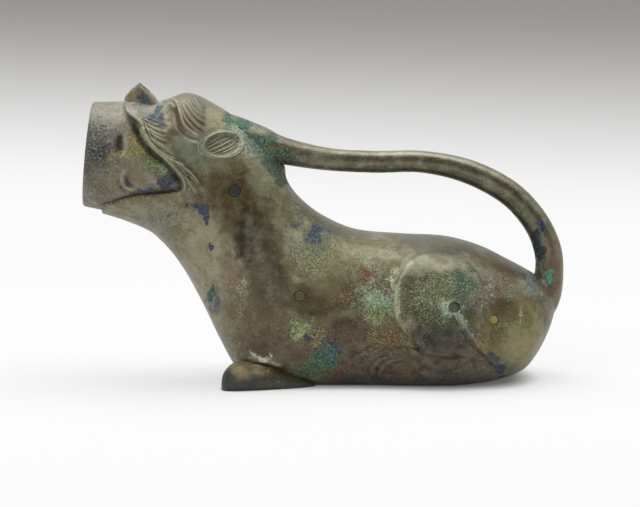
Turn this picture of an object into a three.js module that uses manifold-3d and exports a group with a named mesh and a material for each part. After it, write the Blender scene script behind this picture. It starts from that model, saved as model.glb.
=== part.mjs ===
// Animal-shaped bronze pitcher: a crouching beast whose open jaws hold a round mouth tube and whose
// tail sweeps forward over the back to its nape as the carrying handle.
// The vessel was cast hollow round a clay core. The mouth tube, the handle and the two forepaws are
// castings of their own, locked in by the vessel's metal, and small bronze spacers that held the core
// off the mould stay in the wall.
//
// Millimetres. -X is the way the beast faces, +Z is up, Y = 0 is its plane of symmetry, and Z = 0 is
// the table. The origin lies under the middle of the length.
import * as THREE from "three";
import { mergeVertices } from "three/addons/utils/BufferGeometryUtils.js";
import Module from "manifold-3d";

const wasm = await Module();
wasm.setup();

// Driving dimensions

const wall = 2.6; // thickness of the vessel's casting
const seam = 0.3; // clearance between two castings that meet

const tube_tilt = 5.5; // degrees that the mouth points above the level
const tube_rim_x = -117.4; // centre of the rim
const tube_rim_z = 112.4;
const tube_rim_radius = 26.1; // outside, at the rim
const tube_flare_length = 18; // the tube widens from the rim to the lips
const tube_flare_radius = 27.9; // outside, at the lips
const tube_length = 57;
const tube_end_radius = 26.4; // outside, at the seat in the throat
const tube_wall = 3;
const rim_roll = 0.9; // the rounding of the rim's outer edge
const throat_radius = 21.5; // opening in the seat behind the tube

const lip = 2.1; // the lips stand this far off the tube
const lip_start = 8; // distance from the rim to the front of the lower lip

const snout_height = 7; // the turned-up nose over the upper lip, seen from the side a leaf
const snout_front_x = -99.6;
const snout_tip_x = -91.8;
const snout_back_x = -82.6;
const snout_width = 19;
const nostril_width = 8.4; // the valley between the two nostril flares
const nostril_depth = 6;

const handle_height = 10.8; // handle section at the middle of the grip
const handle_width = 12.4;
const handle_root_height = 14.4; // where the tail grows out of the rump
const handle_root_width = 17;
const handle_nape_height = 16.5; // where it spreads on the nape
const handle_nape_width = 22;

const tenon_radius = 3.2; // cast-on tenons lock handle and paws through the vessel's wall
const tenon_head_radius = 5.2;
const tenon_head_height = 1.8;

const forepaw_length = 46;
const forepaw_width = 21;
const forepaw_height = 13.5;
const forepaw_front_x = -50.6;
const forepaw_right_front_x = -46.4; // the far paw doesn't show past the chest, so it stands further back
const forepaw_y = 34; // distance of the paw's middle from the plane of symmetry
const forepaw_turn = 10; // degrees that the paws point outwards
const toe_count = 4;
const toe_cleft = 1.2; // depth of the clefts between the toes
const toe_length = 13; // the clefts run this far back from the front of the paw

const ear_length = 21.5;
const ear_width = 14;
const ear_rise = 1.2; // the ear's rim stands this far off the head
const ear_rim_width = 1.9;
const ear_dish = 1.5; // depth of the hollow inside the rim
const ear_x = -51;
const ear_z = 119.5;
const ear_lean = 14; // degrees that the ear's tip rises to the back

const brow_length = 17;
const brow_width = 6.5;
const brow_rise = 1.6;
const brow_x = -75;
const brow_z = 131.5;

const spacer_radii = { neck: 2.9, shoulder: 2.6, haunch: 2.5, rump: 2.2 };

const rings_on_body = 58;
const points_round_body = 40;
const rings_in_core = 28;
const points_round_core = 22;
const points_round_tube = 48;
const points_round_pin = 12;

// Materials: the vessel has a brown to olive patina, the tube a rough grey one, the handle is darker

const bronze = new THREE.MeshStandardMaterial({ color: 0x5f5a44, roughness: 0.42, metalness: 0.75 });
const rough_bronze = new THREE.MeshStandardMaterial({ color: 0x5a5548, roughness: 0.62, metalness: 0.6 });
const dark_bronze = new THREE.MeshStandardMaterial({ color: 0x4f4a3b, roughness: 0.36, metalness: 0.8 });
const spacer_bronze = new THREE.MeshStandardMaterial({ color: 0x3d4a44, roughness: 0.6, metalness: 0.5 });

// Solids

const vec = (x, y, z) => new THREE.Vector3(x, y, z);
const lerp = THREE.MathUtils.lerp;

function solid_of(geometry) {
  const plain = geometry.clone();
  plain.deleteAttribute("normal");
  plain.deleteAttribute("uv");
  const merged = mergeVertices(plain, 1e-4);
  return new wasm.Manifold(
    new wasm.Mesh({
      numProp: 3,
      vertProperties: new Float32Array(merged.attributes.position.array),
      triVerts: new Uint32Array(merged.index.array),
    }),
  );
}

function geometry_of(solid) {
  const mesh = solid.getMesh();
  const geometry = new THREE.BufferGeometry();
  geometry.setAttribute("position", new THREE.BufferAttribute(mesh.vertProperties, 3));
  geometry.setIndex(new THREE.BufferAttribute(mesh.triVerts, 1));
  geometry.computeVertexNormals();
  return geometry;
}

// A closed skin through rings of points that all run the same way round, with a fan over each end.
// The quads of its second half are split the other way, so that a form with two equal halves has
// two equal skins.
function skin(rings) {
  const count = rings[0].length;
  const middle = (ring) => ring.reduce((sum, p) => sum.add(p), vec(0, 0, 0)).divideScalar(count);
  const points = [...rings.flat(), middle(rings[0]), middle(rings[rings.length - 1])];
  const first_cap = rings.length * count;
  const faces = [];
  for (let j = 0; j < count; j++) {
    const k = (j + 1) % count;
    for (let i = 0; i < rings.length - 1; i++) {
      const [a, b, c, d] = [i * count + j, i * count + k, (i + 1) * count + k, (i + 1) * count + j];
      faces.push(...(j < count / 2 ? [a, b, c, a, c, d] : [a, b, d, b, c, d]));
    }
    const last = (rings.length - 1) * count;
    faces.push(first_cap, k, j, first_cap + 1, last + j, last + k);
  }
  const geometry = new THREE.BufferGeometry();
  const positions = points.flatMap((p) => [p.x, p.y, p.z]);
  geometry.setAttribute("position", new THREE.Float32BufferAttribute(positions, 3));
  geometry.setIndex(faces);
  const solid = solid_of(geometry);
  if (solid.volume() > 0) return solid;
  for (let i = 0; i < faces.length; i += 3) [faces[i + 1], faces[i + 2]] = [faces[i + 2], faces[i + 1]];
  geometry.setIndex(faces);
  return solid_of(geometry);
}

const placed = (geometry, matrix) => solid_of(geometry.applyMatrix4(matrix));
const mirrored = (solid) => solid.mirror([0, 1, 0]);

function join(solids) {
  return solids.reduce((all, one) => all.add(one));
}

function block(low, high) {
  const size = high.clone().sub(low);
  const box = new THREE.BoxGeometry(size.x, size.y, size.z);
  return solid_of(box.translate((low.x + high.x) / 2, (low.y + high.y) / 2, (low.z + high.z) / 2));
}

// The mouth tube: a revolved sleeve whose axis leans back from the rim to the throat

const tilt = THREE.MathUtils.degToRad(tube_tilt);
const rim_centre = vec(tube_rim_x, 0, tube_rim_z);
const tube_inward = vec(Math.cos(tilt), 0, -Math.sin(tilt));
const tube_up = vec(Math.sin(tilt), 0, Math.cos(tilt));
const tube_frame = new THREE.Matrix4()
  .makeBasis(tube_up, tube_inward, vec(0, 1, 0))
  .setPosition(rim_centre);

function tube_outside(s) {
  if (s < tube_flare_length) return lerp(tube_rim_radius, tube_flare_radius, s / tube_flare_length);
  const behind_flare = (s - tube_flare_length) / (tube_length - tube_flare_length);
  return lerp(tube_flare_radius, tube_end_radius, behind_flare);
}

const tube_point = (s, up) => rim_centre.clone().addScaledVector(tube_inward, s).addScaledVector(tube_up, up);

function revolved(profile, segments) {
  const points = profile.map(([r, s]) => new THREE.Vector2(r, s));
  return placed(new THREE.LatheGeometry(points, segments), tube_frame);
}

function mouth_tube() {
  const inside = (s) => tube_outside(s) - tube_wall;
  return revolved(
    [
      [inside(0), 0],
      [tube_rim_radius - rim_roll, 0],
      [tube_rim_radius - rim_roll * 0.3, rim_roll * 0.3],
      [tube_outside(rim_roll), rim_roll],
      [tube_flare_radius, tube_flare_length],
      [tube_end_radius, tube_length],
      [inside(tube_length), tube_length],
      [inside(tube_flare_length), tube_flare_length],
      [inside(0), 0],
    ],
    points_round_tube,
  );
}

// The room that the tube and its seam take out of the head, and the opening behind it to the throat.
function tube_socket() {
  const front = -12;
  return revolved(
    [
      [0, front],
      [tube_rim_radius + seam, front],
      [tube_rim_radius + seam, 0],
      [tube_flare_radius + seam, tube_flare_length],
      [tube_end_radius + seam, tube_length + seam],
      [throat_radius, tube_length + seam],
      [throat_radius, tube_length + 16],
      [0, tube_length + 16],
    ],
    points_round_tube,
  );
}

// The vessel's outside: sections that fan from the rump along the trunk and up the neck to the jaws.
// Each gives its point on the back line, its point on the belly and throat line, the half width, how
// far up the widest level lies, and how square it is above and below that level.

const section = (top, bottom, half_width, waist = 0.5, above = 2.1, below = 2.1) => ({
  values: [...top, ...bottom, half_width, waist, above, below],
});

function jaw_section(s, over, under, beside, keel = 2.1) {
  const top = tube_point(s, tube_outside(s) + over);
  const bottom = tube_point(s, -tube_outside(s) - under);
  return section([top.x, top.z], [bottom.x, bottom.z], tube_outside(s) + beside, 0.55, 2.1, keel);
}

const body_sections = [
  section([115.2, 35.5], [114.4, 31], 3, 0.5),
  section([114.6, 40], [111.9, 24.5], 12, 0.5),
  section([112.4, 44.8], [108.4, 17], 20, 0.48),
  section([108.2, 49.6], [104.4, 9.5], 26, 0.46, 2.1, 2.3),
  section([101.5, 54.2], [98.6, 2.2], 31, 0.44, 2.1, 2.5),
  section([91, 59.8], [90, -2], 34.5, 0.43, 2.1, 2.6),
  section([77, 66.6], [76, -3.5], 36.5, 0.43, 2.1, 2.7),
  section([60, 71.2], [56, -4], 37.2, 0.43, 2.1, 2.8),
  section([38, 72.5], [26, -4], 37, 0.43, 2.1, 2.8),
  section([16, 74.6], [-8, -4], 36.5, 0.44, 2.1, 2.8),
  section([0, 81.2], [-31, -3], 35.8, 0.45, 2.1, 2.7),
  section([-10.5, 88.9], [-43.4, 5], 34.6, 0.46, 2.1, 2.4),
  section([-17, 96.4], [-52.2, 20], 32.8, 0.48, 2.1, 2.2),
  section([-22.5, 107], [-58.4, 33], 30.8, 0.5),
  section([-31, 118], [-63.4, 43], 29.2, 0.5),
  section([-42.3, 129], [-69, 53.2], 28.8, 0.5),
  section([-55, 137.6], [-75, 62], 29.4, 0.53, 2.1, 2),
  section([-68, 142.8], [-81.6, 69.3], 30.8, 0.55, 2.1, 1.8),
  jaw_section(33, 2.1, 7.8, lip + 1.6, 1.62),
  jaw_section(20, lip, 3.2, lip + 1.1, 1.85),
  jaw_section(lip_start, lip, lip - 0.5, lip, 2),
];

// Haunches, shoulders and folded hind legs swell out of the flanks as lenses: x and z give the middle,
// reach the half length and half height, lean the degrees that the lens is turned back at its top,
// and edge how gently it runs out, from 0.5 for a carved edge.

const muscles = [
  { x: 57.5, z: 38, reach_x: 23.5, reach_z: 28, swell: 5, lean: 0, edge: 0.55 }, // thigh
  { x: 74, z: 27, reach_x: 34, reach_z: 40, swell: 3.4, lean: 0, edge: 0.6 }, // rump
  { x: 46, z: 9, reach_x: 36, reach_z: 12, swell: 3.4, lean: -4, edge: 0.6 }, // lower leg and hind paw
  { x: -14, z: 40, reach_x: 30, reach_z: 41, swell: 6, lean: 22, edge: 1.4 }, // shoulder
];

function muscle_swell(x, z) {
  return muscles.reduce((sum, m) => {
    const turn = THREE.MathUtils.degToRad(m.lean);
    const along = (x - m.x) * Math.cos(turn) + (z - m.z) * Math.sin(turn);
    const up = (z - m.z) * Math.cos(turn) - (x - m.x) * Math.sin(turn);
    const out = 1 - (along / m.reach_x) ** 2 - (up / m.reach_z) ** 2;
    return sum + (out > 0 ? m.swell * out ** m.edge : 0);
  }, 0);
}

// The section at a place from 0, the rump, to 1, the jaws, with its outline drawn in by inset.
const section_rows = body_sections.map((s) => s.values);

function section_at(place) {
  const t = place * (section_rows.length - 1);
  const i = Math.min(Math.floor(t), section_rows.length - 2);
  const row = (k) => section_rows[THREE.MathUtils.clamp(k, 0, section_rows.length - 1)];
  const f = t - i;
  return row(0).map((_, c) => {
    const [a, b, d, e] = [row(i - 1)[c], row(i)[c], row(i + 1)[c], row(i + 2)[c]];
    return b + 0.5 * f * (d - a + f * (2 * a - 5 * b + 4 * d - e + f * (3 * (b - d) + e - a)));
  });
}

function body_point(place, angle, inset = 0) {
  const [top_x, top_z, bottom_x, bottom_z, half_width, waist, above, below] = section_at(place);
  const top = vec(top_x, 0, top_z);
  const bottom = vec(bottom_x, 0, bottom_z);
  const rise = top.distanceTo(bottom);
  const up = top.clone().sub(bottom).divideScalar(rise);
  const [c, s] = [Math.cos(angle), Math.sin(angle)];
  const power = 2 / (c > 0 ? above : below);
  const reach = (c > 0 ? rise * (1 - waist) : rise * waist) - inset;
  const point = bottom.addScaledVector(up, rise * waist + Math.sign(c) * Math.abs(c) ** power * reach);
  point.y = Math.sign(s) * Math.abs(s) ** power * (half_width - inset + muscle_swell(point.x, point.z));
  return point;
}

// The place and angle of the near flank's point that lies at x, z, and a frame on the surface there:
// its Z axis points out of the metal and its X axis along the flank to the rear.
function flank_frame(x, z, lean = 0) {
  let best = { place: 0.5, angle: -Math.PI / 2 };
  let [place_step, angle_step] = [0.04, 0.1];
  for (let round = 0; round < 7; round++) {
    const middle = best;
    let least = Infinity;
    for (let i = -13; i <= 13; i++)
      for (let j = -13; j <= 13; j++) {
        const place = THREE.MathUtils.clamp(middle.place + i * place_step, 0, 1);
        const angle = THREE.MathUtils.clamp(middle.angle + j * angle_step, -Math.PI, 0);
        const p = body_point(place, angle);
        const distance = (p.x - x) ** 2 + (p.z - z) ** 2;
        if (distance < least) [least, best] = [distance, { place, angle }];
      }
    place_step /= 4;
    angle_step /= 4;
  }
  const step = 1e-3;
  const point = body_point(best.place, best.angle);
  const back = body_point(best.place - step, best.angle).sub(point).normalize();
  const down = body_point(best.place, best.angle - step).sub(point).normalize();
  const out = back.clone().cross(down).normalize();
  if (out.y > 0) out.negate();
  const along = vec(1, 0, 0).addScaledVector(out, -out.x).normalize();
  return new THREE.Matrix4()
    .makeBasis(along, out.clone().cross(along), out)
    .setPosition(point)
    .multiply(new THREE.Matrix4().makeRotationZ(THREE.MathUtils.degToRad(lean)));
}

function body_loft(rings, points_round, from = 0, to = 1, inset = 0) {
  return skin(
    Array.from({ length: rings }, (_, i) => {
      const place = lerp(from, to, i / (rings - 1));
      return Array.from({ length: points_round }, (_, j) =>
        body_point(place, (j / points_round) * 2 * Math.PI, inset),
      );
    }),
  );
}

// The line of the open jaws seen from the side, given along the tube and up from its axis: the upper
// lip runs down to the corner of the mouth, and the lower lip forward again to the chin.

const upper_lip = [
  [16, 31],
  [17.5, 26],
  [23.5, 21.6],
  [26.6, 16.2],
  [30, 11],
  [38.5, 4.5],
  [46.5, -1.2],
  [50.8, -8.5],
];
const lower_lip = [
  [46.8, -11.8],
  [36, -15.8],
  [24, -18.4],
  [13, -22.4],
  [lip_start + 2, -26],
];

function jaw_gap() {
  const line = new THREE.CatmullRomCurve3(
    [...upper_lip, ...lower_lip].map(([s, up]) => vec(s, up, 0)),
    false,
    "centripetal",
  );
  const far = -20;
  const edge = line.getPoints(22).map((p) => new THREE.Vector2(p.x, p.y));
  const below = edge[edge.length - 1];
  const outline = [
    new THREE.Vector2(far, 45),
    new THREE.Vector2(upper_lip[0][0], 45),
    ...edge,
    new THREE.Vector2(below.x - 1, -45),
    new THREE.Vector2(far, -45),
  ];
  const depth = 90;
  const gap = new THREE.ExtrudeGeometry(new THREE.Shape(outline), { depth, bevelEnabled: false });
  const frame = new THREE.Matrix4()
    .makeBasis(tube_inward, tube_up, vec(0, -1, 0))
    .setPosition(rim_centre.clone().add(vec(0, depth / 2, 0)));
  return placed(gap, frame);
}

// The turned-up nose: a leaf seen from the side, and two nostril flares with a valley between them.
function snout() {
  const base_z = tube_point(20, tube_outside(20) + lip).z - 3;
  const height = snout_height + 3;
  const rings = 9;
  const leaf = skin(
    Array.from({ length: rings }, (_, i) => {
      const up = i / (rings - 1);
      const front = lerp(snout_tip_x, snout_front_x, 1 - up ** 1.9) - 0.35;
      const back = lerp(snout_tip_x, snout_back_x, 1 - up ** 1.5) + 0.35;
      const half_width = (snout_width / 2) * (1 - 0.25 * up);
      return Array.from({ length: 20 }, (_, j) => {
        const angle = (j / 20) * 2 * Math.PI;
        const square = (v) => Math.sign(v) * Math.abs(v) ** 0.55;
        return vec(
          (front + back) / 2 + square(Math.cos(angle)) * ((back - front) / 2),
          square(Math.sin(angle)) * half_width,
          base_z + height * up,
        );
      });
    }),
  );
  const valley = new THREE.CylinderGeometry(1, 1, 60, 24).rotateZ(Math.PI / 2);
  valley.scale(1, nostril_width / 2, nostril_depth).translate(snout_tip_x, 0, base_z + height + 0.6);
  return leaf.subtract(solid_of(valley));
}

// The ear: a leaf-shaped rim on the side of the head round a shallow hollow.
function ear_leaf(length, width, low, high) {
  const leaf = new THREE.Shape();
  leaf.moveTo(-length / 2, 0);
  leaf.bezierCurveTo(-length * 0.3, width * 0.68, length * 0.32, width * 0.7, length / 2, 0);
  leaf.bezierCurveTo(length * 0.3, -width * 0.62, -length * 0.28, -width * 0.7, -length / 2, 0);
  const slab = new THREE.ExtrudeGeometry(leaf, { depth: high - low, bevelEnabled: false, curveSegments: 10 });
  return placed(slab.translate(0, 0, low), flank_frame(ear_x, ear_z, ear_lean));
}

const ear = ear_leaf(ear_length, ear_width, -3, ear_rise);
const ear_hollow = ear_leaf(ear_length - 2.4 * ear_rim_width, ear_width - 2 * ear_rim_width, -ear_dish, 8);

// The brow: a lens over the eye hollow.
function brow() {
  const lens = new THREE.SphereGeometry(1, 14, 8);
  lens.scale(brow_length / 2, brow_width / 2, brow_rise * 2);
  return placed(lens.translate(0, 0, -brow_rise), flank_frame(brow_x, brow_z, 8));
}

// The tail: it grows out of the rump, arches forward over the back and spreads on the nape.

// round runs from 0.82, a rounded square on the grip, to 1, an oval that lies against the head.
const tail_stations = [
  { x: 101, z: 27, height: 16, width: 20, round: 1 },
  { x: 108.6, z: 40, height: handle_root_height + 3.6, width: handle_root_width + 4, round: 1 },
  { x: 112.2, z: 52.5, height: handle_root_height, width: handle_root_width, round: 0.95 },
  { x: 111, z: 66, height: 13.6, width: 14.5, round: 0.88 },
  { x: 104, z: 80.3, height: 13, width: 13.4, round: 0.82 },
  { x: 91.4, z: 93.3, height: 12.7, width: 13, round: 0.82 },
  { x: 71.5, z: 103.6, height: 12, width: 12.8, round: 0.82 },
  { x: 48.7, z: 108.5, height: handle_height, width: handle_width, round: 0.82 },
  { x: 25, z: 108.5, height: handle_height, width: handle_width, round: 0.82 },
  { x: 1.7, z: 109.8, height: 11.2, width: 12.8, round: 0.85 },
  { x: -20.5, z: 114, height: 13.5, width: 16, round: 0.92 },
  { x: -33, z: 118.4, height: handle_nape_height, width: handle_nape_width, round: 1 },
  { x: -45, z: 122.6, height: handle_nape_height + 1, width: handle_nape_width + 1, round: 1 },
  { x: -57, z: 127, height: handle_nape_height, width: handle_nape_width - 4, round: 1 },
];

function tail() {
  const places = tail_stations.map((p) => vec(p.x, 0, p.z));
  const line = new THREE.CatmullRomCurve3(places, false, "centripetal");
  const last = tail_stations.length - 1;
  const size_at = (t, key) => {
    const i = Math.min(Math.floor(t * last), last - 1);
    const share = THREE.MathUtils.smoothstep(t * last - i, 0, 1);
    return lerp(tail_stations[i][key], tail_stations[i + 1][key], share);
  };
  const rings = 45;
  return skin(
    Array.from({ length: rings }, (_, i) => {
      const t = i / (rings - 1);
      const middle = line.getPoint(t);
      const along = line.getTangent(t);
      const out = vec(along.z, 0, -along.x);
      return Array.from({ length: 16 }, (_, j) => {
        const angle = ((j + 0.5) / 16) * 2 * Math.PI;
        const [c, s] = [Math.cos(angle), Math.sin(angle)];
        const flat = (v) => Math.sign(v) * Math.abs(v) ** size_at(t, "round");
        const point = middle.clone().addScaledVector(out, (flat(c) * size_at(t, "height")) / 2);
        point.y = (flat(s) * size_at(t, "width")) / 2;
        return point;
      });
    }),
  );
}

// A paw resting on the table: a blunt low pad whose front is parted into toes by shallow clefts, and
// which thins to the rear into the lower leg. The widths and heights are shares of the paw's own.
function paw(front_x, y, length, width, height) {
  const stations = [
    [0, 0.12, 0.2],
    [0.015, 0.55, 0.6],
    [0.06, 0.82, 0.85],
    [0.13, 0.95, 1],
    [0.22, 1, 0.98],
    [0.36, 0.96, 0.88],
    [0.55, 0.84, 0.74],
    [0.75, 0.64, 0.55],
    [0.9, 0.42, 0.36],
    [0.98, 0.22, 0.18],
    [1, 0.08, 0.08],
  ];
  const turn = Math.tan(THREE.MathUtils.degToRad(forepaw_turn));
  const form = skin(
    stations.map(([along, wide, high]) =>
      Array.from({ length: 18 }, (_, j) => {
        const angle = (j / 18) * 2 * Math.PI;
        const flat = (v) => Math.sign(v) * Math.abs(v) ** 0.8;
        const middle = 0.34 * height * high;
        const rise = flat(Math.cos(angle));
        return vec(
          front_x + along * length,
          -y + along * length * turn + (flat(Math.sin(angle)) * width * wide) / 2,
          middle + rise * (rise > 0 ? height * high - middle : middle + 1),
        );
      }),
    ),
  );
  const cleft = (i) => {
    const side = i / toe_count - 0.5;
    const cut = new THREE.CylinderGeometry(toe_cleft, toe_cleft, toe_length * 2, 6);
    const place = new THREE.Matrix4()
      .makeTranslation(front_x, -y + side * width * 0.94, height * (0.9 - 0.8 * side * side))
      .multiply(new THREE.Matrix4().makeRotationZ(Math.PI / 2 + 0.25 * side + turn))
      .multiply(new THREE.Matrix4().makeRotationX(0.12));
    return placed(cut, place);
  };
  const clefts = Array.from({ length: toe_count - 1 }, (_, i) => cleft(i + 1));
  return clefts.reduce((all, one) => all.subtract(one), form);
}

// The vessel's shell, its core and the skins that its neighbours are cut to

const ground = (top) => block(vec(-300, -200, -60), vec(300, 200, top));
const core_from = 0.09; // where the core starts in the rump
const core_to = 0.74; // and ends behind the mouth tube

const body_outside = body_loft(rings_on_body, points_round_body).subtract(ground(0));
const body_clearance = body_loft(rings_on_body, points_round_body, 0, 1, -seam);
const core = body_loft(rings_in_core, points_round_core, core_from, core_to, wall).subtract(ground(wall));
const core_clearance = body_loft(rings_in_core, points_round_core, core_from, core_to, wall + seam).subtract(
  ground(wall + seam),
);
const shell = body_outside.subtract(core);

// A pin along the Z axis of a frame that lies on the vessel's outside with Z pointing out of it.
function pin(frame, radius, low, high) {
  const cylinder = new THREE.CylinderGeometry(radius, radius, high - low, points_round_pin);
  cylinder.rotateX(Math.PI / 2).translate(0, 0, (high + low) / 2);
  return placed(cylinder, frame);
}

// A casting of its own: its form clear of the vessel, and a tenon through the wall with a head inside.
function cast_on(form, frame) {
  const depth = wall + seam + tenon_head_height;
  const head = pin(frame, tenon_head_radius, -depth, 0).intersect(core_clearance);
  return join([form.subtract(ground(0)).subtract(body_clearance), pin(frame, tenon_radius, -depth, 3), head]);
}

const pin_hole = (frame, radius) => pin(frame, radius + seam, -wall - 4, 5);

// A frame on the back line, at a place along the vessel.
function back_frame(place) {
  const point = body_point(place, 0);
  const along = body_point(place - 0.005, 0).sub(body_point(place + 0.005, 0)).normalize();
  const out = vec(-along.z, 0, along.x);
  return new THREE.Matrix4().makeBasis(along, out.clone().cross(along), out).setPosition(point);
}

const tail_root = back_frame(0.17);
const tail_nape = back_frame(0.705);
const forepaw_joint = (front_x) => flank_frame(front_x + 0.4 * forepaw_length, 7);

const spacers = {
  neck: flank_frame(-44, 97),
  shoulder: flank_frame(-12, 47),
  haunch: flank_frame(63, 41.5),
  rump: flank_frame(82.6, 35),
};

const spacer_holes = Object.entries(spacers).map(([name, frame]) => pin_hole(frame, spacer_radii[name]));

const on_both_sides = (solid) => [solid, mirrored(solid)];

const openings = [
  jaw_gap(),
  tube_socket(),
  ...on_both_sides(ear_hollow),
  pin_hole(tail_root, tenon_radius),
  pin_hole(tail_nape, tenon_radius),
  pin_hole(forepaw_joint(forepaw_front_x), tenon_radius),
  mirrored(pin_hole(forepaw_joint(forepaw_right_front_x), tenon_radius)),
  ...spacer_holes.flatMap(on_both_sides),
];

const body = openings.reduce(
  (solid, opening) => solid.subtract(opening),
  join([body_outside, snout(), ...on_both_sides(ear), ...on_both_sides(brow())]).subtract(core),
);

// The assembly

const pitcher = new THREE.Group();

function add(name, solid, material) {
  const mesh = new THREE.Mesh(geometry_of(solid), material);
  mesh.name = name;
  pitcher.add(mesh);
}

function add_pair(name, solid, material) {
  add(`${name}_left`, solid, material);
  add(`${name}_right`, mirrored(solid), material);
}

add("vessel_body", body, bronze);
add("mouth_tube", mouth_tube(), rough_bronze);
const tail_solid = cast_on(tail(), tail_root);
add(
  "tail_handle",
  join([
    tail_solid,
    pin(tail_nape, tenon_radius, -wall - seam - tenon_head_height, 3),
    pin(tail_nape, tenon_head_radius, -wall - seam - tenon_head_height, 0).intersect(core_clearance),
  ]),
  dark_bronze,
);
const forepaw = (front_x) =>
  cast_on(paw(front_x, forepaw_y, forepaw_length, forepaw_width, forepaw_height), forepaw_joint(front_x));
add("forepaw_left", forepaw(forepaw_front_x), dark_bronze);
add("forepaw_right", mirrored(forepaw(forepaw_right_front_x)), dark_bronze);
for (const [name, frame] of Object.entries(spacers)) {
  const spacer = pin(frame, spacer_radii[name], -wall - 4, 4).intersect(shell);
  add_pair(`core_spacer_${name}`, spacer, spacer_bronze);
}

export default pitcher;
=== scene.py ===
from math import cos, pi, radians, sin

import bmesh
import bpy
import numpy as np
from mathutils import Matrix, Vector


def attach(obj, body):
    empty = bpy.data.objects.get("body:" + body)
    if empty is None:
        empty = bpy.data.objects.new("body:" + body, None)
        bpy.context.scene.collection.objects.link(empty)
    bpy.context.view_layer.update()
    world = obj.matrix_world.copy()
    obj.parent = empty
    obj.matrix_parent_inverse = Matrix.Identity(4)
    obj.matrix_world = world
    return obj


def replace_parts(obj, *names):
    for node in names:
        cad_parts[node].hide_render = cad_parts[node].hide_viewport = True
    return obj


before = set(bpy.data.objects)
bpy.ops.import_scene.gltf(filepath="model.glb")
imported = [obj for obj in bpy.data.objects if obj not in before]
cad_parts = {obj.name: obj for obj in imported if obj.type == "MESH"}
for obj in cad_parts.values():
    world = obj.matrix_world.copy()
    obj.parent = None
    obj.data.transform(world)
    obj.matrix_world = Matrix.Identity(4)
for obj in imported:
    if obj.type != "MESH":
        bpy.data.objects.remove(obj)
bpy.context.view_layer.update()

# The table and the view
# The pitcher stands on a white table in front of a pale grey wall, and the camera looks at its left
# flank from a little above it, from far enough off that the lines hardly converge.

MM = 0.001
scene = bpy.context.scene
scene.view_settings.view_transform = "Standard"


def at(x, y, z):
    """A point given in millimetres, in metres."""
    return Vector((x, y, z)) * MM


def new_object(name, data):
    made = bpy.data.objects.new(name, data)
    scene.collection.objects.link(made)
    return made


VIEW_HEIGHT_ANGLE = radians(7.5)
VIEW_DISTANCE = 1.5
VIEW_CENTRE = at(-2.2, 0, 62.5)
PHOTO_WIDTH_AT_OBJECT = 0.3195

camera_data = bpy.data.cameras.new("view")
camera_data.sensor_width = 36
camera_data.lens = camera_data.sensor_width * VIEW_DISTANCE / PHOTO_WIDTH_AT_OBJECT
camera = new_object("view", camera_data)
toward_camera = Vector((0, -cos(VIEW_HEIGHT_ANGLE), sin(VIEW_HEIGHT_ANGLE)))
camera.location = VIEW_CENTRE + VIEW_DISTANCE * toward_camera
camera.rotation_euler = toward_camera.to_track_quat("Z", "Y").to_euler()
scene.camera = camera


def linear(colour):
    """A colour written as sRGB hex, such as "7a6b4f", as linear RGBA."""
    levels = [int(colour[i : i + 2], 16) / 255 for i in (0, 2, 4)]
    return [v / 12.92 if v <= 0.04045 else ((v + 0.055) / 1.055) ** 2.4 for v in levels] + [1]


def node(tree, kind, **settings):
    """Adds a node. A setting named after an input, or _ and its number, sets it, or links it where the
    value is a socket or a node, whose first output it takes."""
    made = tree.nodes.new(kind)
    for name, value in settings.items():
        if hasattr(made, name) and not name[0].isupper():
            setattr(made, name, value)
            continue
        socket = made.inputs[int(name[1:])] if name[0] == "_" else made.inputs[name.replace("_", " ")]
        if isinstance(value, bpy.types.Node):
            value = value.outputs[0]
        if isinstance(value, bpy.types.NodeSocket):
            tree.links.new(value, socket)
        else:
            socket.default_value = value
    return made


def ramp(value, low, high, start=0, end=1, **settings):
    """Goes from start to end as the value goes from low to high."""
    limits = {"From_Min": low, "From_Max": high, "To_Min": start, "To_Max": end}
    return node(value.id_data, "ShaderNodeMapRange", Value=value, **limits, **settings).outputs[0]


def blend(amount, under, over):
    """A colour that goes from under to over as the amount goes from 0 to 1."""
    made = node(amount.id_data, "ShaderNodeMix", data_type="RGBA", _0=amount, _6=under, _7=over)
    return made.outputs["Result"]


def calculate(operation, *values):
    tree = next(value.id_data for value in values if isinstance(value, bpy.types.NodeSocket))
    inputs = {f"_{i}": value for i, value in enumerate(values)}
    return node(tree, "ShaderNodeMath", operation=operation, **inputs).outputs[0]


def new_material(name):
    material = bpy.data.materials.new(name)
    material.use_nodes = True
    material.node_tree.nodes.clear()
    return material, material.node_tree


# White laminate that runs back into a grey fade. Near the pitcher it is lit, with a glow of its own
# that keeps the shadow light. Behind the pitcher its colour follows the distance alone.
FADE_FROM, FADE_TO = 0.66, 4.8  # metres behind the pitcher
FADE_TURN = 0.42  # it is darker to the right
EYE_DISTANCE = 1.487
GLOW, COVERED_GLOW = 0.6, 0.1
CONTACT_REACH = 0.015

table_finish, tree = new_material("table_finish")
rays = node(tree, "ShaderNodeLightPath").outputs
seen = calculate("MAXIMUM", rays["Is Camera Ray"], rays["Is Glossy Ray"])
place = node(tree, "ShaderNodeTexCoord").outputs["Object"]
ground = node(tree, "ShaderNodeSeparateXYZ", Vector=place).outputs
aside = calculate("MULTIPLY_ADD", ground["X"], FADE_TURN, EYE_DISTANCE)
nearness = calculate("DIVIDE", 1.0, calculate("ADD", ground["Y"], aside))
furthest, nearest = 1 / (EYE_DISTANCE + FADE_TO), 1 / (EYE_DISTANCE + FADE_FROM)
fade = ramp(nearness, furthest, nearest, interpolation_type="SMOOTHSTEP")
paper = node(tree, "ShaderNodeEmission", Color=blend(fade, linear("94918e"), linear("fbfbfb")), Strength=1)
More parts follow.
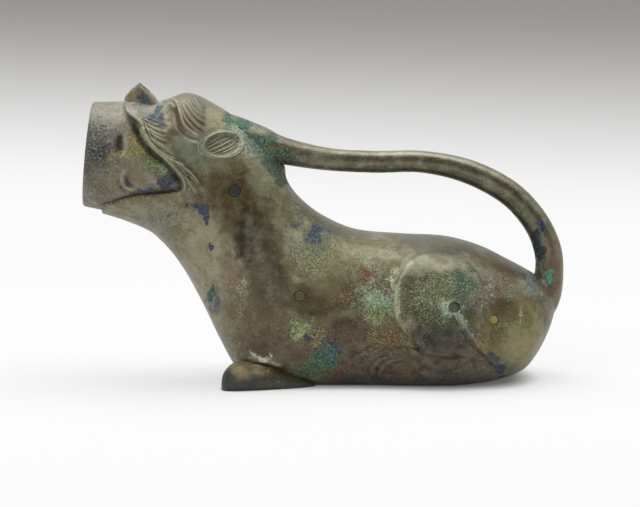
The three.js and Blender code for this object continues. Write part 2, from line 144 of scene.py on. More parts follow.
# painted contact shadow: the glow dims where ambient occlusion finds the narrow gap under the pitcher
uncovered = node(tree, "ShaderNodeAmbientOcclusion", Distance=CONTACT_REACH).outputs["AO"]
strength = ramp(uncovered, 0.15, 0.65, COVERED_GLOW, GLOW)
glow = node(tree, "ShaderNodeEmission", Color=linear("ffffff"), Strength=strength)
shaded = node(tree, "ShaderNodeBsdfDiffuse", Color=linear("929292"))
lit = node(tree, "ShaderNodeAddShader", _0=glow, _1=shaded)
both = node(tree, "ShaderNodeMixShader", _0=ramp(ground["Y"], 0.25, 0.6), _1=lit, _2=paper)
laminate = node(tree, "ShaderNodeBsdfDiffuse", Color=linear("d4d4d4"))
shown = node(tree, "ShaderNodeMixShader", _0=seen, _1=laminate, _2=both)
node(tree, "ShaderNodeOutputMaterial", Surface=shown)

table_mesh = bpy.data.meshes.new("table")
table_mesh.from_pydata([(-6, -2.5, 0), (6, -2.5, 0), (6, 12, 0), (-6, 12, 0)], [], [(0, 1, 2, 3)])
table_mesh.materials.append(table_finish)
table = new_object("table", table_mesh)

# The wall behind: its colour comes from the world, which is pale grey above and white at the table.
world = bpy.data.worlds.new("studio")
world.use_nodes = True
scene.world = world
tree = world.node_tree
tree.nodes.clear()
rays = node(tree, "ShaderNodeLightPath").outputs
seen = calculate("MAXIMUM", rays["Is Camera Ray"], rays["Is Transmission Ray"])
way = node(tree, "ShaderNodeTexCoord").outputs["Generated"]
way = node(tree, "ShaderNodeSeparateXYZ", Vector=way).outputs
wall_colour = blend(ramp(way["Z"], -0.06, 0.02), linear("f2f2f2"), linear("a8a8a8"))
wall_light = node(tree, "ShaderNodeBackground", Color=wall_colour, Strength=1)
fill_light = node(tree, "ShaderNodeBackground", Color=linear("f4f4f4"), Strength=0.46)
# In its skin the bronze mirrors a dark room in front and the bright wall behind.
mirrored_colour = blend(ramp(way["Y"], -0.35, 0.5), linear("5a5a58"), linear("f0f0f0"))
mirrored_light = node(tree, "ShaderNodeBackground", Color=mirrored_colour, Strength=1)
lit = node(tree, "ShaderNodeMixShader", _0=rays["Is Glossy Ray"], _1=fill_light, _2=mirrored_light)
world_light = node(tree, "ShaderNodeMixShader", _0=seen, _1=lit, _2=wall_light)
node(tree, "ShaderNodeOutputWorld", Surface=world_light)


def soft_box(name, place, target, width, depth, power):
    data = bpy.data.lights.new(name, "AREA")
    data.shape = "RECTANGLE"
    data.size, data.size_y, data.energy = width, depth, power
    lamp = new_object(name, data)
    lamp.location = place
    lamp.rotation_euler = (Vector(place) - Vector(target)).to_track_quat("Z", "Y").to_euler()


soft_box("overhead", (0.08, 0.22, 1.2), (0, 0, 0.05), 1.7, 1.0, 17.5)
soft_box("front_left", (-0.8, -1.2, 0.8), (0, 0, 0.06), 1.0, 0.8, 8)

# Finish: old cast bronze
# Cast bronze that lay in the ground: an olive brown skin over the metal, with painted shade in the
# recesses and wear on the edges, soft tints, and crusts of green malachite and blue azurite that break up
# into flakes and specks at their edges.

EARTH, LINE_SHADE_AND_DIRT, LINE_WEAR_AND_HIGHLIGHT = linear("574530"), linear("1a160e"), linear("b9bb9c")
PALE_GRAIN, DARK_GRAIN, RECESS_SHADE = linear("a4a892"), linear("20221a"), linear("1d180f")


def old_bronze(name, skin, shade, worn, roughness, grit=1.0):
    """Stains, crusts and drawn lines, among them painted shade and painted highlights, come from the
    attributes that paint() and trace() lay on a piece.
    """
    material, tree = new_material(name)
    place = node(tree, "ShaderNodeTexCoord").outputs["Object"]
    skin, shade, worn = linear(skin), linear(shade), linear(worn)

    def noise(size, detail=5, roughness=0.6, stretch=None):
        """size is the pattern's own in mm."""
        where = place
        if stretch:
            where = node(tree, "ShaderNodeVectorMath", operation="MULTIPLY", _0=place, _1=stretch)
        kind = {"Scale": 1 / (size * MM), "Detail": detail, "Roughness": roughness}
        return node(tree, "ShaderNodeTexNoise", Vector=where, **kind).outputs[0]

    def laid(name):
        return node(tree, "ShaderNodeAttribute", attribute_name=name).outputs

    clouds = noise(30, 3, 0.5)
    mottling = noise(7, 6, 0.65)
    flakes = ramp(noise(5, 9, 0.72), 0.34, 0.66)
    specks = ramp(noise(1.6, 5, 0.8), 0.34, 0.66)
    grains = noise(0.8, 2, 0.5)
    streaks = noise(3, 5, 0.7, (0.5, 1.0, 1.4))
    point = node(tree, "ShaderNodeNewGeometry").outputs["Pointiness"]

    colour = blend(ramp(clouds, 0.38, 0.62), shade, skin)
    for pattern, low, high, most, over in (
        (noise(16, 4, 0.6), 0.47, 0.66, 0.6, EARTH),
        (mottling, 0.46, 0.66, 0.65, worn),
        (flakes, 0.45, 0.1, 0.6, shade),
        (streaks, 0.48, 0.34, 0.7, shade),
        (specks, 0.42, 0.05, 0.4, shade),
        (specks, 0.6, 0.95, 0.35, worn),
    ):
        colour = blend(ramp(pattern, low, high, 0, most), colour, over)

    uneven = ramp(flakes, 0, 0.8, 0.35, 1)
    # the stains, among them painted shade and painted highlights
    strength = calculate("MULTIPLY", laid("stain_and_painted_light_strength")["Fac"], uneven)
    colour = blend(strength, colour, laid("stain_and_painted_light")["Color"])

    # a crust covers the places where its cover and the pattern add up to more than a limit
    cover, fineness = laid("cover")["Fac"], laid("fineness")["Fac"]
    hue, value = ramp(mottling, 0.35, 0.65, 0.46, 0.54), ramp(specks, 0.1, 0.9, 0.4, 1.5)
    tint = {"Hue": hue, "Value": value, "Color": laid("crust")["Color"]}
    tint = node(tree, "ShaderNodeHueSaturation", **tint).outputs[0]
    spreads = calculate("MULTIPLY", calculate("MULTIPLY", cover, fineness), 0.5)
    colour = blend(calculate("MULTIPLY", spreads, uneven), colour, tint)
    share = ramp(fineness, 0, 1, 0, 0.7)
    pattern = node(tree, "ShaderNodeMix", data_type="FLOAT", _0=share, _2=flakes, _3=specks).outputs[0]
    excess = calculate("SUBTRACT", calculate("ADD", pattern, cover), ramp(fineness, 0, 1, 1.07, 0.97))
    crust = calculate("DIVIDE", excess, ramp(fineness, 0, 1, 0.13, 0.31))
    crust = ramp(calculate("MULTIPLY", crust, ramp(cover, 0, 0.08)), 0, 1)
    colour = blend(crust, colour, tint)
    # fine pale and dark grains, which crowd where the crust is fine
    speckled = calculate("ADD", calculate("MULTIPLY", ramp(cover, 0, 0.6), fineness), 0.1)
    pale = calculate("MULTIPLY", speckled, ramp(grains, 0.55, 0.65, 0, 0.5))
    dark = calculate("MULTIPLY", speckled, ramp(grains, 0.46, 0.36, 0, 0.65))
    colour = blend(pale, colour, PALE_GRAIN)
    colour = blend(dark, colour, DARK_GRAIN)

    # dirt and painted shade in the drawn dark lines, painted shade in the recesses, and wear and painted
    # highlights on the drawn pale lines, with wear on the ridges
    drawn = calculate("MULTIPLY", laid("drawn")["Fac"], ramp(flakes, 0, 1, 0.5, 1.4))
    colour = blend(ramp(drawn, 0, -1), colour, LINE_SHADE_AND_DIRT)
    colour = blend(ramp(drawn, 0, 1), colour, LINE_WEAR_AND_HIGHLIGHT)
    colour = blend(ramp(point, 0.5, 0.42, 0, 0.65), colour, RECESS_SHADE)
    colour = blend(ramp(point, 0.52, 0.62, 0, 0.5), colour, worn)

    rough = calculate("ADD", ramp(crust, 0, 1, roughness, 0.7), ramp(mottling, 0.3, 0.7, -0.07, 0.09))
    relief = calculate("ADD", calculate("MULTIPLY", specks, 0.35), calculate("MULTIPLY", streaks, 1.2))
    relief = calculate("ADD", relief, calculate("MULTIPLY", crust, 0.6))
    bump = node(tree, "ShaderNodeBump", Height=relief, Strength=0.4 * grit, Distance=0.3 * MM)
    metal = ramp(crust, 0, 1, 0.35, 0.0)
    surface = {"Base_Color": colour, "Roughness": rough, "Metallic": metal, "Normal": bump}
    node(tree, "ShaderNodeOutputMaterial", Surface=node(tree, "ShaderNodeBsdfPrincipled", **surface))
    return material


def points_in_mm(made):
    points = np.empty(len(made.data.vertices) * 3)
    made.data.vertices.foreach_get("co", points)
    return points.reshape(-1, 3) / MM


def lay(made, name, values, kind="FLOAT", field="value"):
    """Gives each point of a piece a value or a colour."""
    made.data.attributes.new(name, kind, "POINT").data.foreach_set(field, np.ravel(values))


PATCH_END = 8  # a flank's crusts and stains thin out from this far before the plane of symmetry
PATCH_FADE = 28
DRIFT = 0.8  # how far each wave bends their outlines, in mm
DRIFT_WAVES = (34, 34, 22, 22, 15, 15, 10, 10, 7, 7, 5, 5, 3.5, 3.5)  # their lengths in mm


def drift(points):
    """Bends the space round a piece, so that no patch keeps an even outline."""
    drawn = np.random.default_rng(5)
    moved = np.zeros(points.shape)
    for length in DRIFT_WAVES:
        way, push = (v / np.linalg.norm(v) for v in drawn.normal(size=(2, 3)))
        wave = np.sin(points @ way * 2 * pi / length + drawn.uniform(0, 2 * pi))
        moved += DRIFT * (length / 10) ** 0.4 * wave[:, None] * push
    return points + moved


def paint(made, tints=(), crusts=(), far_tints=(), far_crusts=()):
    """Lays stains and crusts on a piece's points; some stains are painted shade and painted highlights.
    tints: colour, x and z of the middle, reach along x and z in mm, strength. crusts: the same, but how
    much of the middle they cover, and how fine they are, from 0, flakes, to 1, specks."""
    points = drift(points_in_mm(made))
    count = len(points)

    def nearness(side, x, z, reach_x, reach_z):
        past = np.clip(PATCH_END - side * points[:, 1], 0, None) / PATCH_FADE
        gap = [(points[:, 0] - x) / reach_x, (points[:, 2] - z) / reach_z, past]
        return np.clip(1 - np.linalg.norm(gap, axis=0), 0, 1)[:, None]

    def over(under, tint, amount):
        return under * (1 - amount) + np.array(linear(tint)) * amount

    stain_and_painted_light, strength = np.zeros((count, 4)), np.zeros((count, 1))
    for side, listed in ((-1, tints), (1, far_tints)):
        for tint, *where, most in listed:
            amount = most * np.clip(nearness(side, *where) / 0.45, 0, 1)
            stain_and_painted_light, strength = over(stain_and_painted_light, tint, amount), strength * (1 - amount) + amount
    crust, weight, cover, fineness = np.zeros((count, 4)), *np.zeros((3, count, 1))
    for side, listed in ((-1, crusts), (1, far_crusts)):
        for tint, *where, most, fine in listed:
            near = nearness(side, *where)
            amount = np.clip(near / 0.3, 0, 1) * min(1, 1.3 * most)
            crust, weight = over(crust, tint, amount), weight * (1 - amount) + amount
            fineness = fineness * (1 - amount) + fine * amount
            cover = np.maximum(cover, (most + 0.04) * np.clip(near / 0.65, 0, 1))
    weight = np.maximum(weight, 1e-3)
    lay(made, "stain_and_painted_light", stain_and_painted_light / np.maximum(strength, 1e-3), "FLOAT_COLOR", "color")
    lay(made, "crust", crust / weight, "FLOAT_COLOR", "color")
    lay(made, "stain_and_painted_light_strength", strength)
    lay(made, "cover", cover)
    lay(made, "fineness", fineness / weight)


# The crusts and stains of the pitcher, placed in the object's own millimetres. Some of the stains are
# painted shade and painted highlights, as marked.
MALACHITE = "2f6b52"
PALE_MALACHITE = "7ba487"
DARK_GREEN = "3a5343"
MOSS = "4a5a3c"
AZURITE = "363b4d"
TEAL = "335750"
OCHRE = "7d6a34"
RUST = "7a4030"
UMBER = "473828"
MAROON = "382c2a"
SLATE = "34383a"
PALE = "b9bfa9"

# The first two stains, 35260a and 211710, darken the hollow between neck and shoulder: a dark brown with
# painted shade.
neck_tints = [
    ("35260a", -41, 84, 17, 15, 0.9), ("211710", -37, 70, 8, 18, 0.8), ("46340a", -47, 98, 18, 15, 0.95),
    ("7c8874", -64, 116, 13, 11, 0.75), ("8f9a88", -69, 121, 9, 7, 0.7), ("8a8a6c", -31, 103, 9, 9, 0.6),
    ("54402b", -71, 132, 6, 8, 0.7), ("4c4334", -64, 133, 7, 8, 0.4), ("70503c", -66, 135, 6, 5, 0.6),
    ("89803f", -51, 136, 6, 5, 0.7), ("5c5842", -60, 142, 16, 7, 0.65), ("6a6862", -92, 136, 9, 6, 0.65),
    ("9a927a", -60, 62, 12, 26, 0.6), ("8c8a6e", -50, 116, 10, 8, 0.6), ("8f8a72", -80, 84, 14, 9, 0.5),
    ("6c6850", -57, 138, 10, 5, 0.5),
]
# Some stains here are painted light: 221f1d along the bottom is painted shade where the flank turns under,
# 8a8c74 and a5a491 on the thigh's top are painted highlights, and the dark maroon ones under the thigh,
# MAROON, 2e2728, 32282a and 382a27, are its maroon colour deepened with painted shade.
trunk_tints = [
    ("302010", -27, 58, 12, 28, 0.85), ("432d1a", -7, 44, 26, 9, 0.8), ("54412c", -31, 30, 22, 20, 0.7),
    ("8a7862", -45, 57, 9, 10, 0.7), ("4a3429", -20, 21, 24, 16, 0.85), ("442a24", 10, 25, 26, 13, 0.95),
    ("3c2c27", 16, 12, 26, 12, 0.9), ("371e19", 44, 11, 50, 14, 0.95), (MAROON, 54, 23, 17, 15, 1.0),
    ("2e2728", 58, 25, 19, 13, 1.0), ("221f1d", 34, -2, 70, 9, 0.95), ("7a7050", 84, 20, 5, 12, 0.5),
    ("484a3e", 24, 76, 40, 6, 0.6), ("42453a", 66, 70, 34, 6, 0.7), ("3c463c", 97, 57, 14, 6, 0.7),
    ("4a4030", 80, 9, 16, 9, 0.6), ("3c4020", 56, 48, 22, 17, 0.85), ("363e22", 58, 42, 20, 14, 0.8),
    ("8a8c74", 52, 60, 18, 5, 0.6), ("42320c", 85, 55, 14, 13, 1.0), ("4e3a10", 92, 41, 12, 11, 0.9),
    ("6c5c30", 84, 25, 9, 14, 0.7), ("968e62", 98, 28, 13, 18, 0.8), ("32282a", 63, 24, 13, 10, 0.9),
    ("382a27", 68, 14, 15, 9, 0.9), ("a5a491", 50, 61, 14, 4, 0.35), ("6c5230", 10, 48, 14, 8, 0.7),
    ("75704c", 3, 63, 22, 18, 0.5),
]
head_crusts = [
    ("355e49", -46.5, 132, 7, 5, 1.1, 0.6), ("355e49", -41.5, 128, 9, 6, 1.1, 0.7),
    ("3b5c49", -36, 122.5, 10, 8, 1.0, 0.8), ("335040", -31, 117, 11, 8.5, 1.0, 0.7),
    ("374e3d", -25.5, 110, 9, 10, 0.9, 0.8), ("374e3a", -21, 101, 6, 9, 0.8, 0.9),
    (PALE, -36, 121, 14, 10, 0.4, 1), ("4a5064", -78, 82, 16, 9, 0.35, 0.8),
    (AZURITE, -63, 90, 6.5, 3, 1.1, 0), (AZURITE, -60, 87, 4.5, 5, 1.1, 0),
    (AZURITE, -58.5, 81.5, 2.2, 4, 1.1, 0), (AZURITE, -57, 70, 3.5, 4, 1.0, 0.1),
    (AZURITE, -67.5, 90, 2, 2, 0.9, 0.2), ("4a4250", -40, 105.7, 2.6, 1.8, 0.8, 0),
    (AZURITE, -75, 86, 5, 3, 0.6, 0.5), (AZURITE, -84, 82, 6, 4, 0.5, 0.6),
    (AZURITE, -89, 140.5, 5, 3, 0.9, 0.2), ("8a8794", -87, 137, 7, 2.5, 0.5, 0.3),
    ("3b4c5c", -83, 134.5, 6, 2.6, 0.9, 0.5), ("3a4458", -79.5, 131.8, 4, 2.6, 0.9, 0.4),
    (OCHRE, -95, 142, 4, 3, 0.8, 0.4), ("a09c90", -94, 136.5, 6, 3, 0.5, 0.3),
    ("96705a", -89.5, 133.5, 4, 2, 0.5, 0.2),
]
front_crusts = [
    (AZURITE, -56.5, 50, 2, 4, 0.9, 0.2), (TEAL, -56, 45, 4, 6, 0.8, 0.4),
    ("4a5560", -53.5, 38, 4, 8, 0.7, 0.5), ("5a6a60", -47, 24, 5, 6, 0.5, 0.5),
    ("8a9a8a", -43, 17, 5, 5, 0.6, 0.3), (OCHRE, -46, 53, 4, 5, 0.5, 0.8),
    ("7f7040", -42, 37, 4, 10, 0.55, 0.7), (OCHRE, -43, 20, 6, 6, 0.5, 0.7),
    ("a09682", -40, 51, 3.5, 6, 0.5, 0.9), ("5f4a2a", -36, 17, 9, 4, 0.7, 0.5),
    (PALE, -31, 15, 9, 2.5, 0.9, 0.7),
]
flank_crusts = [
    ("6f7c4c", -11, 29, 12, 10, 0.8, 0.6), ("84955f", -13, 31, 6, 6, 0.65, 0.8),
    ("7f7440", -3, 25, 9, 9, 0.75, 0.8), (AZURITE, -9, 25.5, 3, 2, 0.9, 0.2),
    (AZURITE, 4.5, 20.5, 8, 5.5, 0.9, 0.3), (TEAL, -1, 16, 11, 6, 0.95, 0.5),
    ("3c5a44", -5, 10, 11, 6, 0.9, 0.5), ("3c5a44", -14, 6, 9, 4, 0.7, 0.6),
    ("5f3026", 6, 9, 8, 5, 0.75, 0.5), ("5f3026", -15, 23, 7, 4, 0.4, 0.6),
    ("5a6e4a", 19, 47, 17, 15, 0.6, 0.9), ("7c8458", 22, 58, 14, 8, 0.5, 0.9),
    ("64382b", 20.5, 55, 8, 6, 0.8, 0.6), ("5f3026", 9, 47, 10, 5, 0.5, 0.6),
    ("5f3026", 24, 26, 5, 5, 0.5, 0.6), ("3c3a34", 25, 19, 9, 7, 0.5, 0.5),
    ("34503c", 20, 21, 5, 8, 0.5, 0.7), ("6f7048", -3, 66, 17, 12, 0.7, 0.8),
    ("56604a", -6, 72, 10, 7, 0.6, 0.6), ("2f3a50", -6, 75, 8, 4, 1.0, 0.5),
    ("3d5072", 2, 75, 5, 3, 0.9, 0.3), ("2c3a4c", -16, 80, 5, 3, 0.8, 0.3),
    ("5d6f60", -13, 86, 6, 5, 0.5, 0.8), ("4c6446", 27, 40, 16, 16, 0.85, 0.9),
    ("93a880", 30, 42, 14, 13, 0.35, 1), ("2f6b4c", 31, 36, 8, 6, 0.7, 0.8),
    ("94a078", 34.5, 50, 5, 14, 0.6, 0.9), ("a3a67a", 33.5, 34, 2.6, 9, 0.8, 0.7),
    ("a9ad84", 33.8, 46, 2.6, 11, 0.9, 0.7), ("a3a67a", 36.5, 57, 3, 7, 0.7, 0.7),
    ("8f8a50", 40, 26, 4, 6, 0.7, 0.7), ("8f8a50", 24, 32, 14, 7, 0.4, 0.9),
    ("9aa68e", 25, 47, 12, 10, 0.35, 1), ("6a5a30", 29, 26, 14, 10, 0.75, 0.8),
    ("6e4a2a", 31, 22, 7, 5, 0.3, 0.7), ("6f5c30", 43, 23, 7, 5, 0.5, 0.6),
]
haunch_crusts = [
    ("31381c", 53, 45, 21, 17, 0.85, 0.9), ("364c2c", 64, 52, 14, 11, 0.75, 0.8),
    ("284b34", 70, 52, 7, 7, 0.75, 0.8), ("2f3b2b", 69, 45.5, 10, 4, 0.6, 0.6),
    ("7c7a50", 52, 50, 14, 10, 0.3, 1), ("8f9a66", 55, 42, 13, 7, 0.15, 1),
    ("8f9c84", 62, 42, 5.5, 5.5, 1.0, 0.5), ("8f9c84", 66, 38.5, 4.5, 6, 0.85, 0.6),
    ("6f7d62", 69, 33, 6, 6, 0.8, 0.6), ("556468", 71.5, 27.5, 4.5, 5, 0.7, 0.7),
    ("7f746c", 79, 48.5, 7, 9, 0.6, 0.9), ("8f847c", 80, 49, 5, 6, 0.5, 1),
    ("5e5048", 76, 44, 6, 8, 0.5, 0.8), (AZURITE, 81.5, 19, 3.6, 4.2, 1.0, 0.1),
    (AZURITE, 84, 15, 4, 5.2, 1.0, 0.1), (AZURITE, 86, 10.5, 4.2, 4.6, 1.0, 0.1),
    ("4a3c50", 79, 22, 2.5, 3, 0.7, 0.2), ("7f6636", 77, 25, 6, 6, 0.6, 0.8),
    ("6c4a2e", 75, 22, 5, 4, 0.5, 0.8), ("6c4f2a", 88, 52, 8, 8, 0.5, 0.5),
    ("5d6a4c", 88, 31, 8, 8, 0.4, 0.8), ("5e6f66", 103, 51, 6, 6, 0.7, 0.6),
    ("46586a", 105, 49, 3, 3, 0.7, 0.4), ("4f6a4c", 91, 47, 6, 5, 0.6, 0.8),
    ("9a9078", 95.5, 37, 1.5, 4, 0.8, 0.3), ("5f4030", 66, 11, 9, 4, 0.3, 0.7),
    ("6a5a36", 74, 14, 8, 5, 0.4, 0.7),
]
# the far side and the back carry the same kinds of crust, elsewhere
far_tints = [
    (UMBER, -5, 22, 34, 22, 0.7), (MAROON, 60, 20, 30, 20, 0.7), ("5d5031", -50, 96, 22, 18, 0.6),
]
far_crusts = [
    (MALACHITE, 30, 40, 24, 20, 0.7, 0.8), (PALE_MALACHITE, 34, 44, 18, 12, 0.4, 1),
    (AZURITE, -55, 84, 7, 7, 1.0, 0.1), (OCHRE, 84, 34, 18, 14, 0.6, 0.7),
    (DARK_GREEN, -35, 118, 14, 12, 0.8, 0.6),
]
body_patches = [neck_tints + trunk_tints, head_crusts + front_crusts + flank_crusts + haunch_crusts]
body_patches += [far_tints, far_crusts]
body_bronze = old_bronze("body_bronze", "7c7756", "565036", "9e9c84", 0.38)
tube_tints = [
    ("45443f", -109, 117, 14, 26, 0.7), ("847a60", -97, 108, 16, 14, 0.7),
    ("7a7242", -88, 115, 12, 9, 0.7), ("8d8878", -106, 134, 16, 8, 0.6),
    ("2a241e", -100.5, 120.5, 3, 6, 0.8), ("3a3128", -97.5, 100.5, 3.5, 6, 0.6),
]
tube_crusts = [
    ("2c2d2e", -110, 119, 14, 22, 0.55, 1), ("3d3f3f", -105, 112, 12, 16, 0.35, 1),
    ("a9a89c", -104, 129, 14, 9, 0.25, 1), ("8a7f4a", -92, 120, 9, 9, 0.8, 0.6),
    ("9a9844", -98, 114, 9, 4, 0.6, 0.7), ("6a7a42", -84, 110, 10, 8, 0.8, 0.6),
    ("8aa872", -78, 106, 6, 6, 0.85, 0.7), ("a4c28a", -75, 101, 4, 5, 0.9, 0.5),
    (AZURITE, -78, 99.5, 6, 4.5, 1.0, 0.2), ("434a62", -86, 96.5, 7, 2.5, 0.8, 0.2),
    ("34505e", -90, 97, 3, 3, 0.9, 0.2), ("4a3f50", -97, 101, 3, 4, 0.7, 0.2),
    (AZURITE, -104, 90, 4, 3, 0.8, 0.3), ("7c776c", -110, 96, 9, 6, 0.3, 1),
]
tube_bronze = old_bronze("tube_bronze", "807a66", "605948", "a29d8e", 0.46, 1.8)
tail_tints = [("7d6650", 114, 58, 7, 22, 0.7), ("3d3323", 20, 103, 60, 4, 0.5)]
tail_crusts = [
    ("222c3c", 105, 70, 5, 14, 1.1, 0.3), ("2c3c55", 106, 81, 6, 4, 1.1, 0.2),
    ("27333f", 107, 58, 3.5, 9, 1.0, 0.3), ("5d6a4c", 109, 70, 4, 7, 0.5, 0.5),
    ("3f8a6c", 110.5, 53.5, 3.5, 3.5, 0.9, 0.5), (MOSS, 106, 56, 4, 5, 0.7, 0.7),
    (RUST, 108.5, 43, 4, 5, 0.5, 0.4), ("3f5a3c", 28, 104, 24, 2.5, 0.75, 0.6),
    ("3f5a3c", 95, 84, 6, 4, 0.6, 0.7), ("385847", -31, 120, 12, 6, 1.0, 0.8),
    ("355e49", -41, 127, 8, 5, 1.0, 0.7), ("36503f", -19, 112, 10, 6, 0.8, 0.8),
]
tail_bronze = old_bronze("tail_bronze", "67644b", "47432f", "928f7a", 0.34)
# The first tint and the first crust make each pad's top a pale khaki streak: its colour, lightened into a
# painted highlight.
paw_tints = [
    ("a09268", -32, 13, 26, 8, 0.85), (SLATE, -42, 0, 26, 8, 0.9), (SLATE, -50, 5, 7, 10, 0.8),
    ("3c4238", -18, 1, 22, 6, 0.9), ("4e4034", -17, 8, 16, 6, 0.9),
]
paw_crusts = [
    ("b3ae8a", -34, 13, 14, 3, 0.9, 0.6), ("7d6844", -28, 10, 10, 3, 0.5, 0.7),
    (TEAL, -20, 2.5, 12, 4, 0.6, 0.5), ("6a5a38", -44, 11, 5, 4, 0.5, 0.6),
]
paw_bronze = old_bronze("paw_bronze", "5d5843", "474132", "8a8571", 0.48)
neck_spacer_bronze = old_bronze("neck_spacer_bronze", "262b29", "1c201e", "3c433e", 0.5)
brown_spacer_bronze = old_bronze("brown_spacer_bronze", "4f4430", "3f3524", "6c5f46", 0.45)
pale_spacer_bronze = old_bronze("pale_spacer_bronze", "363e35", "20251f", "6c7766", 0.6)
yellow_spacer_bronze = old_bronze("yellow_spacer_bronze", "a68d45", "8d7638", "c0aa66", 0.5)

# The vessel
# One hollow casting: trunk, neck and head of a crouching beast. It is lofted through sections that
# fan from the rump along the trunk and up the neck to the jaws, as its mould was carved, and the
# whiskers, ears, brows and lips are raised and sunk in its skin.

TUBE_TILT = radians(5.5)
RIM = np.array([-117.4, 112.4])  # centre of the tube's rim, x and z
INWARD = np.array([cos(TUBE_TILT), -sin(TUBE_TILT)])
UPWARD = np.array([sin(TUBE_TILT), cos(TUBE_TILT)])
TUBE_LENGTH = 57
RIM_RADIUS, WIDEST_RADIUS, END_RADIUS = 26.1, 27.9, 26.4
WIDEST = 18  # the tube swells up to here, from its rim
SEAM = 0.3
THROAT_RADIUS = 21.5
WALL = 2.6
SQUARENESS_ABOVE = 2.1
LIP = 2.1
LIP_START = 8


def tube_outside(s):
    return np.interp(s, [0, WIDEST, TUBE_LENGTH], [RIM_RADIUS, WIDEST_RADIUS, END_RADIUS])


def on_tube(s, up):
    return RIM + INWARD * s + UPWARD * up


def jaw_section(s, over, under, beside, keel):
    top = on_tube(s, tube_outside(s) + over)
    bottom = on_tube(s, -tube_outside(s) - under)
    return [*top, *bottom, tube_outside(s) + beside, 0.55, keel]


# Back line x and z, belly line x and z, half width, widest level and squareness below it.
SECTIONS = np.array(
    [
        [115.2, 35.5, 114.4, 31, 3, 0.5, 2.1],
        [114.6, 40, 111.9, 24.5, 12, 0.5, 2.1],
        [112.4, 44.8, 108.4, 17, 20, 0.48, 2.1],
        [108.2, 49.6, 104.8, 11.5, 26, 0.46, 2.3],
        [101.5, 54.2, 99.2, 5.2, 31, 0.44, 2.4],
        [91, 59.8, 90, 1.2, 34.5, 0.43, 2.4],
        [77, 66.6, 76, -1.8, 36.5, 0.43, 2.6],
        [60, 71.2, 56, -4, 37.2, 0.43, 2.8],
        [38, 72.5, 26, -4, 37, 0.43, 2.8],
        [16, 74.6, -8, -4, 36.5, 0.44, 2.8],
        [0, 81.2, -31, -3, 35.8, 0.45, 2.7],
        [-10.5, 88.9, -43.4, 5, 34.6, 0.46, 2.4],
        [-17, 96.4, -52.2, 20, 32.8, 0.48, 2.2],
        [-22.5, 107, -58.4, 33, 30.8, 0.5, 2.1],
        [-31, 118, -63.4, 43, 29.2, 0.5, 2.1],
        [-42.3, 129, -69, 53.2, 28.8, 0.5, 2.1],
        [-55, 137.6, -75, 62, 29.4, 0.53, 2],
        [-68, 142.8, -81.6, 69.3, 30.8, 0.55, 1.8],
        jaw_section(33, 2.1, 7.8, LIP + 1.6, 1.62),
        jaw_section(20, LIP, 3.2, LIP + 1.1, 1.85),
        jaw_section(LIP_START, LIP, LIP - 0.5, LIP, 2),
    ]
)

# Middle x and z, half length, half height, swell, lean in degrees and softness of edge of each muscle.
MUSCLES = [
    (57.5, 38, 23.5, 28, 5, 0, 0.55),  # thigh
    (74, 27, 34, 40, 3.4, 0, 0.6),  # rump
    (46, 9, 36, 12, 3.4, -4, 0.6),  # lower leg and hind paw
    (-14, 40, 30, 41, 6, 22, 1.4),  # shoulder
]


def muscle_swell(x, z):
    total = 0
    for mx, mz, reach_x, reach_z, swell, lean, edge in MUSCLES:
        c, s = cos(radians(lean)), sin(radians(lean))
        along = ((x - mx) * c + (z - mz) * s) / reach_x
        up = ((z - mz) * c - (x - mx) * s) / reach_z
        total = total + swell * np.clip(1 - along**2 - up**2, 0, 1) ** edge
    return total


def body_points(places, angles, inset=0.0):
    """The skin's points in mm, for each place from the rump to the jaws and each angle round."""
    last = len(SECTIONS) - 1
    t = np.clip(places, 0, 1) * last
    i = np.minimum(t.astype(int), last - 1)
    f = (t - i)[:, None]
    a, b, d, e = (SECTIONS[np.clip(i + k, 0, last)] for k in (-1, 0, 1, 2))
    row = b + 0.5 * f * (d - a + f * (2 * a - 5 * b + 4 * d - e + f * (3 * (b - d) + e - a)))
    top, bottom = row[:, None, 0:2], row[:, None, 2:4]
    half_width, waist, below = (row[:, k : k + 1] for k in (4, 5, 6))
    rise = np.linalg.norm(top - bottom, axis=2)
    c, s = np.cos(angles)[None], np.sin(angles)[None]
    power = 2 / np.where(c > 0, SQUARENESS_ABOVE, below)
    reach = np.where(c > 0, rise * (1 - waist), rise * waist) - inset
    height = rise * waist + np.sign(c) * np.abs(c) ** power * reach
    xz = bottom + (top - bottom) / rise[..., None] * height[..., None]
    swell = muscle_swell(xz[..., 0], xz[..., 1])
    y = np.sign(s) * np.abs(s) ** power * (half_width - inset + swell)
    return np.stack([xz[..., 0], y, xz[..., 1]], axis=2)


HEAD_FROM = 0.6
HEAD_CROWDING = 1.9


def even_places(count):
    """Places along the vessel spaced by length, closer together on the head."""
    fine = np.linspace(0, 1, 800)
    line = body_points(fine, np.array([pi / 2, 0.25 * pi, 0.75 * pi]))
    steps = np.linalg.norm(np.diff(line, axis=0), axis=2).max(axis=1)
    steps = steps * np.where(fine[1:] > HEAD_FROM, HEAD_CROWDING, 1)
    along = np.concatenate([[0], np.cumsum(steps)])
    return np.interp(np.linspace(0, along[-1], count), along, fine)


